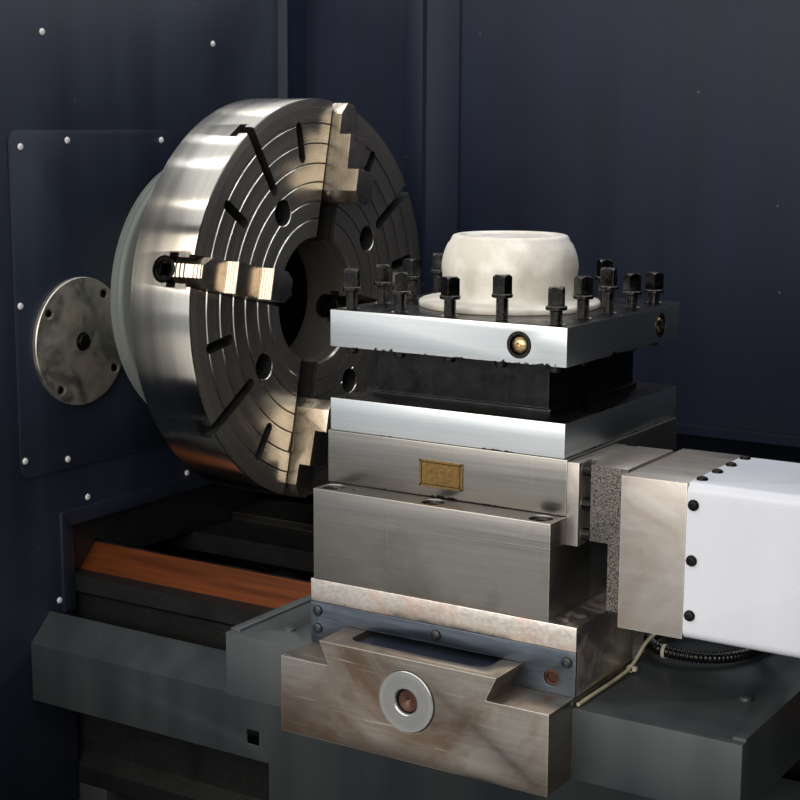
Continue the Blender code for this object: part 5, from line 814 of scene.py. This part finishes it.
cap = turned([(0.0, capLow), (0.1045, capLow), (0.105, capLow + 0.0005), (0.105, capLow + 0.0045),
    (0.1042, capLow + 0.0062), (0.102, capLow + 0.0074), (0.08, capLow + 0.009), (0.0783, capLow + 0.0105),
    (0.0772, capLow + 0.016), (0.077, capLow + 0.024), (0.0778, capLow + 0.035), (0.0788, capLow + 0.043),
    (0.0788, capLow + 0.048), (0.0775, capLow + 0.056), (0.0752, capLow + 0.064), (0.072, capLow + 0.071),
    (0.069, capLow + 0.0745), (0.0672, 0.1478), (0.0655, 0.15), (0.0625, 0.151), (0.057, 0.151),
    (0.0555, 0.1504), (0.0545, 0.1486), (0.0, 0.1484)], 96, "Z", closed=False)
fine("turret_cap", cap, "nylon", turretAt, 45.0)
print("turret made")


# the riser under the turret, its scribed line, and what is screwed to it
dress("turret_base", "riser", 0.0012)
riserBox = {
    "x": (0.432, 0.7325), "y": (-0.618, -0.25), "z": (-0.2367, -0.1313), "line": -0.16, "scribe": 0.0008,
}
holeAt = [(0.448, -0.6), (0.58, -0.6), (0.712, -0.6)]


def riserShape():
    r = riserBox
    front, top, cutBy = r["y"][0], r["z"][1], r["scribe"]
    bm = bevelled(block(r["x"], r["y"], r["z"]), 0.001, 2)
    groove = prism([(front - 0.002, r["line"] - cutBy * 1.6), (front + cutBy, r["line"]),
        (front - 0.002, r["line"] + cutBy * 1.6)], "X", r["x"][0] - 0.01, r["x"][1] + 0.01)
    bores, lips = bmesh.new(), bmesh.new()
    for x, y in holeAt:
        rod("Z", (x, y, 0), 0.013, top - 0.016, top - 0.0008, 40, bores)
        rod("Z", (x, y, 0), 0.013, top - 0.001, top + 0.001, 40, lips, 0.0148)
    small = rod("Z", (0.477, -0.598, 0), 0.0045, top - 0.012, top + 0.002, 24)
    return cutAll(bm, groove, bores, lips, small)


fine("riser_block", riserShape(), "riser", clean=False)
riserBolts = capScrew(0.0112, 0.0128, 0.0058)
moved(riserBolts, Matrix.Rotation(-square, 4, "Y"))
riserBolts = repeated(riserBolts, [Matrix.Translation((x, y, riserBox["z"][1] - 0.003)) for x, y in holeAt])
addPiece("riser_bolts", riserBolts, "oxide", "slide_set")
plateBody = block((0.551, 0.607), (-0.5833, -0.5823), (-0.12, -0.089))
bevelled(plateBody, 0.0004, 1)
frameLine = cutAll(block((0.554, 0.604), (-0.58355, -0.583), (-0.1172, -0.0918)),
    block((0.5548, 0.6032), (-0.584, -0.582), (-0.1164, -0.0926)))
rivets = bmesh.new()
for x in (0.5528, 0.6052):
    for z in (-0.1182, -0.0908):
        rod("Y", (x, 0, z), 0.0011, -0.5841, -0.583, 16, rivets)
fine("brass_plate", plateBody, "brass")
addPiece("brass_plate_border", merged(frameLine, rivets), "oxide", "slide_set")


def saddlePaint(face):
    # the bar between the wings is planed steel, the cast wings under the covers stay rough
    middle = face.calc_center_median()
    return 0 if 0.425 < middle.x < 0.766 else 1


dress("saddle", "nose cast", 0.0009, 2, 35.0, saddlePaint)
screwCentre = (0.594, 0.0, -0.334)
barFront = -0.675
disc = turned([(0.013, barFront + 0.0097), (0.0345, barFront + 0.0097), (0.0345, barFront - 0.001),
    (0.0341, barFront - 0.0016), (0.0334, barFront - 0.002), (0.0152, barFront - 0.002),
    (0.0142, barFront - 0.0014), (0.0134, barFront - 0.0004), (0.013, barFront + 0.001)], 96, "Y", screwCentre)
fine("cross_screw_disc", disc, "disc", smoothAngle=15.0)
screwEnd = [
    (0.0, barFront + 0.009), (0.0022, barFront + 0.005), (0.005, barFront + 0.0038), (0.0116, barFront + 0.003),
    (0.0122, barFront + 0.0036), (0.0122, barFront + 0.012), (0.0155, barFront + 0.012),
]
along = barFront + 0.014
while along < 0.355:
    screwEnd += [(0.0156, along), (0.0156, along + 0.0034), (0.0138, along + 0.0044), (0.0138, along + 0.0078)]
    along += 0.01
screwEnd += [(0.0156, 0.3695), (0.0, 0.3695)]
screwBody = turned(screwEnd, 40, "Y", screwCentre, closed=False)
painted(screwBody, lambda face: 1 if face.calc_center_median().y > barFront + 0.013 else 0)
fine("x_ball_screw", screwBody, "copper shaft")
dress("cross_slide", "slide", 0.0009)
dress("slide_wiper", "slate", 0.0005)
slideFront = -0.618
wiperDots = [(x, slideFront - 0.0004, z) for x, z in ((0.438, -0.274), (0.438, -0.295), (0.596, -0.275),
    (0.755, -0.276))]


def domeHead(radius, height):
    bm = turned([(0.0, -0.001), (radius, -0.001), (radius, height * 0.25), (radius * 0.9, height * 0.6),
        (radius * 0.62, height * 0.9), (radius * 0.5, height), (0.0, height)], 28, "Z", closed=False)
    return cutAll(bm, rod("Z", (0, 0, 0), radius * 0.42, height * 0.35, height * 2.0, 6))


def headsAt(places, radius, height, axis):
    # made to stand along +Z, and turned to stand along -Y where axis says so
    out = []
    for place in places:
        one = moved(domeHead(radius, height), Matrix.Rotation(random.uniform(0.0, 1.0), 4, "Z"))
        if axis == "-Y":
            moved(one, Matrix.Rotation(square, 4, "X"))
        bmesh.ops.translate(one, verts=one.verts, vec=place)
        out.append(one)
    return merged(bmesh.new(), *out)


addPiece("wiper_screws", headsAt(wiperDots, 0.0062, 0.0036, "-Y"), "blackPaint", "slide_set")
plug = turned([(0.0, -0.6146), (0.0056, -0.6148), (0.0058, -0.616), (0.0054, -0.6164), (0.006, -0.6172),
    (0.0086, -0.6168), (0.0086, -0.6144), (0.0, -0.6144)], 40, "Y", (0.737, 0.0, -0.296), closed=False)
addPiece("wiper_plug", plug, "copper", "slide_set")
dress("left_wing_cover", "greenGrey", 0.0012)
dress("right_wing_cover", "greenGrey", 0.0012)
dress("slot_cover", "navy", 0.0008)
dress("front_way_cover", "greenGrey", 0.0008)
print("carriage made")


adapter = {"flange": 0.7465, "body": 0.7597, "box": 0.7992, "boltY": -0.57, "boltZ": (-0.08, -0.117, -0.15)}
coverScrews = {"x": 0.8773, "front": (-0.097, -0.154, -0.211), "top": (-0.571, -0.53, -0.491, -0.45)}


def adapterPaint(face):
    # the casting stays rough; its flange, its top and the box beside it are machined
    spot, a = face.calc_center_median(), adapter
    if a["flange"] < spot.x < a["body"] and any(math.hypot(spot.y - a["boltY"], spot.z - z) < 0.0075
            for z in a["boltZ"]):
        return 2
    machined = spot.x < a["flange"] or spot.x > a["box"] or face.normal.z > 0.7
    return 1 if machined else 0


def coverPaint(face):
    spot, s = face.calc_center_median(), coverScrews
    onFront = spot.y < -0.5921 and any(abs(spot.z - z) < 0.006 for z in s["front"])
    onTop = spot.z > -0.0748 and any(abs(spot.y - y) < 0.006 for y in s["top"])
    return 1 if abs(spot.x - s["x"]) < 0.006 and (onFront or onTop) else 0


dress("motor_adapter", "roughCast box oxide", 0.0012, 2, paintBy=adapterPaint)
dress("turret_motor_cover", "white oxide", 0.0006, 1, 50.0, paintBy=coverPaint)
frontHeads = headsAt([(coverScrews["x"], -0.592, z) for z in coverScrews["front"]], 0.0058, 0.0036, "-Y")
topHeads = headsAt([(coverScrews["x"], y, -0.075) for y in coverScrews["top"]], 0.0058, 0.0034, "Z")
addPiece("motor_cover_screws", merged(frontHeads, topHeads), "oxide", "slide_set")
dress("turret_motor", "blackPaint", 0.001)


def softened(points):
    points = [Vector(p) for p in points]
    for step in range(3):
        cutPoints = [points[0]]
        for a, b in zip(points, points[1:]):
            cutPoints += [a.lerp(b, 0.25), a.lerp(b, 0.75)]
        points = cutPoints + [points[-1]]
    return points


def hose(points, radius, segments, pitch=None, depth=0.0):
    # rings strung along a softened line; with a pitch the wall is corrugated
    points = softened(points)
    spacing = pitch / 6.0 if pitch else 0.004
    stations = [points[0]]
    left = spacing
    for a, b in zip(points, points[1:]):
        length = (b - a).length
        while length > 0 and left <= length:
            stations.append(a.lerp(b, left / length))
            left += spacing
        left -= length
    stations.append(points[-1])
    bm = bmesh.new()
    side = Vector((0.0, 1.0, 0.0))
    rings = []
    for i, spot in enumerate(stations):
        along = (stations[min(i + 1, len(stations) - 1)] - stations[max(i - 1, 0)]).normalized()
        side = (side - along * side.dot(along)).normalized()
        third = along.cross(side)
        r = radius - (depth if pitch and (i % 6) in (3, 4, 5) else 0.0)
        rings.append([bm.verts.new(spot + (side * math.cos(t) + third * math.sin(t)) * r)
            for t in (2.0 * math.pi * k / segments for k in range(segments))])
    for a, b in zip(rings, rings[1:]):
        for k in range(segments):
            bm.faces.new((a[k], a[(k + 1) % segments], b[(k + 1) % segments], b[k]))
    bm.faces.new(list(reversed(rings[0])))
    bm.faces.new(rings[-1])
    return bm


conduitPath = [
    (0.93, -0.455, -0.2373), (0.93, -0.455, -0.275), (0.9, -0.4, -0.292), (0.85, -0.345, -0.3),
    (0.8, -0.33, -0.304), (0.757, -0.36, -0.3048), (0.756, -0.42, -0.3048), (0.79, -0.446, -0.308),
    (0.85, -0.425, -0.312), (0.88, -0.35, -0.3122), (0.87, -0.24, -0.3122), (0.85, -0.12, -0.3122),
    (0.848, 0.02, -0.3122), (0.85, 0.2, -0.3122),
]
oilPath = [
    (0.812, -0.44, -0.2373), (0.812, -0.44, -0.262), (0.774, -0.452, -0.29), (0.7715, -0.486, -0.316),
    (0.77, -0.53, -0.319), (0.769, -0.58, -0.319), (0.769, -0.618, -0.319),
]
fine("motor_conduit", hose(conduitPath, 0.007, 20, 0.0048, 0.0014), "conduit", smoothAngle=70.0)
fine("oil_line", hose(oilPath, 0.0021, 16), "oilTube")
ties = merged(turned([(0.0033, -0.002), (0.0033, 0.002), (0.0041, 0.002), (0.0041, -0.002)], 28, "Y",
    (0.7713, -0.492, -0.3166)), block((0.7745, 0.7785), (-0.4945, -0.4895), (-0.3185, -0.314)),
    turned([(0.0074, -0.002), (0.0074, 0.002), (0.0082, 0.002), (0.0082, -0.002)], 32, "X",
    (0.79, -0.4415, -0.308)))
addPiece("cable_ties", ties, "tie", "slide_set")
print("motor made")


spindleBody = turned([(0.052, -0.1983), (0.148, -0.1983), (0.148, -0.222), (0.085, -0.222), (0.085, -0.53),
    (0.074, -0.88), (0.07, -0.88), (0.07, -1.149), (0.069, -1.15), (0.053, -1.15), (0.052, -1.149)], 96)
fine("spindle", spindleBody, "shaft")


def pulley(inner, outer, low, high, ribs):
    # a ribbed belt pulley: two rims and shallow grooves between them
    rim, depth, rib = 0.008, 0.012, 0.0025
    inside = outer - depth
    profile = [
        (inner, low), (outer - 0.001, low), (outer, low + 0.001), (outer, low + rim), (inside, low + rim),
    ]
    step = (high - low - 2.0 * rim) / ribs
    for i in range(ribs):
        at = low + rim + i * step
        profile += [(inside, at + step * 0.2), (inside - rib, at + step * 0.45),
            (inside - rib, at + step * 0.55), (inside, at + step * 0.8)]
    profile += [(inside, high - rim), (outer, high - rim), (outer, high - 0.001), (outer - 0.001, high),
        (inner, high)]
    return profile


fine("spindle_pulley", turned(pulley(0.0703, 0.13, -1.1, -1.02, 10), 96), "shaft")
fine("motor_pulley", turned(pulley(0.0244, 0.075, -1.1, -1.02, 10), 72, "X", (0.0, 0.05, -0.62)), "motorPulley")
for name, (low, high, inner) in {"front_spindle_bearing": (-0.4, -0.3303, 0.0854),
        "rear_spindle_bearing": (-0.9997, -0.94, 0.0704)}.items():
    race = turned([(inner, low + 0.001), (inner + 0.001, low), (inner + 0.009, low),
        (inner + 0.009, low + 0.002), (0.106, low + 0.002), (0.106, low), (0.1137, low), (0.1147, low + 0.001),
        (0.1147, high - 0.001), (0.1137, high), (0.106, high), (0.106, high - 0.002),
        (inner + 0.009, high - 0.002), (inner + 0.009, high), (inner + 0.001, high), (inner, high - 0.001)], 96)
    fine(name, race, "shaft")
dress("drive_belt", "belt", 0.0)
dress("main_motor", "charcoal", 0.0)
for name in ("x_servo_motor", "z_servo_motor"):
    dress(name, "blackPaint", 0.003, 3)
dress("z_nut_bracket", "cast", 0.0012)
dress("z_ball_screw", "leadScrew", 0.0)
print("drives made")


def bedPaint(face):
    # the ways are ground, and the front flank of the vee wears grease
    normal, middle = face.normal, face.calc_center_median()
    if middle.z > -0.4425 and abs(normal.x) < 0.2:
        return 2 if normal.y < -0.3 and normal.z > 0.3 else 1
    return 0


dress("bed_casting", "cast ways grease", 0.0, paintBy=bedPaint)
dress("headstock_casting", "cast", 0.003, 3)
for name in ("left_pedestal", "right_pedestal"):
    dress(name, "charcoal", 0.003, 3)
dress("chip_tray", "charcoal", 0.001)


tailX = 1.7
quill = turned([(0.0, 0.01), (0.014, 0.01), (0.018, -0.039), (0.019, -0.04), (0.047, -0.04), (0.0492, -0.0388),
    (0.05, -0.037), (0.05, 0.259), (0.049, 0.26), (0.0164, 0.26), (0.0164, 0.022), (0.0, 0.022)], 96, "X",
    (tailX, 0, 0), closed=False)
fine("tailstock_quill", quill, "shaft")
point = -0.0404
centre = turned([(0.0, point - 0.09), (0.001, point - 0.0892), (0.0292, point - 0.04), (0.03, point - 0.0385),
    (0.03, point - 0.026), (0.029, point - 0.0254), (0.029, point - 0.024), (0.03, point - 0.0234),
    (0.03, point - 0.001), (0.029, point), (0.015, point), (0.012, point + 0.045), (0.0, point + 0.045)], 72,
    "X", (tailX, 0, 0), closed=False)
fine("live_centre", centre, "shaft")
dress("tailstock_body", "castPaint", 0.0025, 3)
dress("tailstock_handwheel", "blackPaint", 0.0)
print("tailstock made")


for name in ("headstock_cabinet", "tailstock_cabinet", "front_frame"):
    dress(name, "violet", 0.0015)


panes = {"door": -0.874, "screen": -0.901, "seal": 0.004}      # how far forward each pane lies


def paneAt(depth):
    # paints the floor of a window's recess as its pane
    def pick(face):
        return 1 if face.normal.y < -0.9 and abs(face.calc_center_median().y - depth) < 0.0008 else 0
    return pick


for name in ("left_door", "right_door"):
    dress(name, "violet glass", 0.0015, paintBy=paneAt(panes["door"]))
dress("control_panel", "panel glass", 0.0008, paintBy=paneAt(panes["screen"]))
print("doors made")


floorFinish, add, shader, coord = newFinish("paleStudioFloor")
grain = add("TexNoise", {"Vector": coord, "Scale": 3.0, "Detail": 3.0})
tone = add("ValToRGB", {"Fac": grain}, stops=[(0.3, "c9c9c7"), (0.7, "cfcfcd")])
feed(shader, {"Base Color": tone, "Roughness": 0.9})
ground = bmesh.new()
bmesh.ops.create_grid(ground, x_segments=1, y_segments=1, size=14.0)
floor = linked(bpy.data.objects.new("studio_floor", toMesh(ground, "studio_floor")))
floor.data.materials.append(floorFinish)

lamps = {
    # name: (place, aim, width, height, watts, colour)
    "frontPanel": ((-0.6, -4.0, 2.9), (-0.4, 0.1, 1.15), 5.6, 2.6, 112.0, "fff1dd"),
    "stripLow": ((0.2, -4.6, 1.95), (0.0, 0.1, 1.15), 4.6, 0.22, 16.0, "ffffff"),
    "rightPanel": ((2.2, -4.3, 2.1), (-0.5, 0.1, 1.15), 1.8, 2.0, 28.0, "ffeedc"),
    "stripFront": ((-0.2, -1.6, 3.2), (-0.2, 0.13, 1.13), 3.2, 0.1, 7.0, "fff6e4"),
    "stripMiddle": ((-0.2, -0.5, 3.3), (-0.2, 0.13, 1.13), 3.2, 0.1, 7.0, "ffffff"),
    "stripTop": ((-0.2, 0.17, 3.3), (-0.2, 0.13, 1.13), 3.2, 0.12, 8.0, "ffffff"),
    "stripBack": ((-0.2, 1.15, 3.2), (-0.2, 0.13, 1.13), 3.2, 0.12, 8.0, "ffffff"),
}
for name, (place, aim, width, height, watts, colour) in lamps.items():
    lamp = bpy.data.lights.new(name, "AREA")
    lamp.shape = "RECTANGLE"
    lamp.size, lamp.size_y = width, height
    lamp.energy = watts
    lamp.color = toLinear(colour)[:3]
    holder = linked(bpy.data.objects.new(name, lamp))
    holder.location = place
    holder.rotation_euler = (Vector(aim) - Vector(place)).to_track_quat("-Z", "Y").to_euler()
    holder.visible_camera = False

sky = {"light": "c4c8ce", "seen": "f3f4f4"}
world = bpy.data.worlds.new("studio")
bpy.context.scene.world = world
world.use_nodes = True
add = functools.partial(addNode, world.node_tree)
rays = add("LightPath").outputs
seen = add("Math", {0: rays["Is Camera Ray"], 1: rays["Is Glossy Ray"]}, operation="MAXIMUM")
seen = add("Math", {0: seen, 1: rays["Is Transmission Ray"]}, operation="MAXIMUM")
shade = add("Mix", {0: seen, 6: toLinear(sky["light"]), 7: toLinear(sky["seen"])}, data_type="RGBA")
feed(world.node_tree.nodes["Background"], {"Color": shade, "Strength": 1.0})

eye = bpy.data.cameras.new("eye")
eye.lens = 71.0
eye.sensor_width = 36.0
eye.clip_end = 60.0
viewer = linked(bpy.data.objects.new("eye", eye))
right = Vector((0.843855, 0.536557, 0.003912))
up = Vector((-0.095112, 0.142402, 0.985229))
ahead = Vector((-0.528074, 0.831762, -0.171199))
viewer.matrix_world = Matrix.Translation((0.84874, -1.9042, 1.40308)) @ Matrix((right, up,
    -ahead)).transposed().to_4x4()
bpy.context.scene.camera = viewer
bpy.context.scene.view_settings.view_transform = "Standard"
print("studio made")
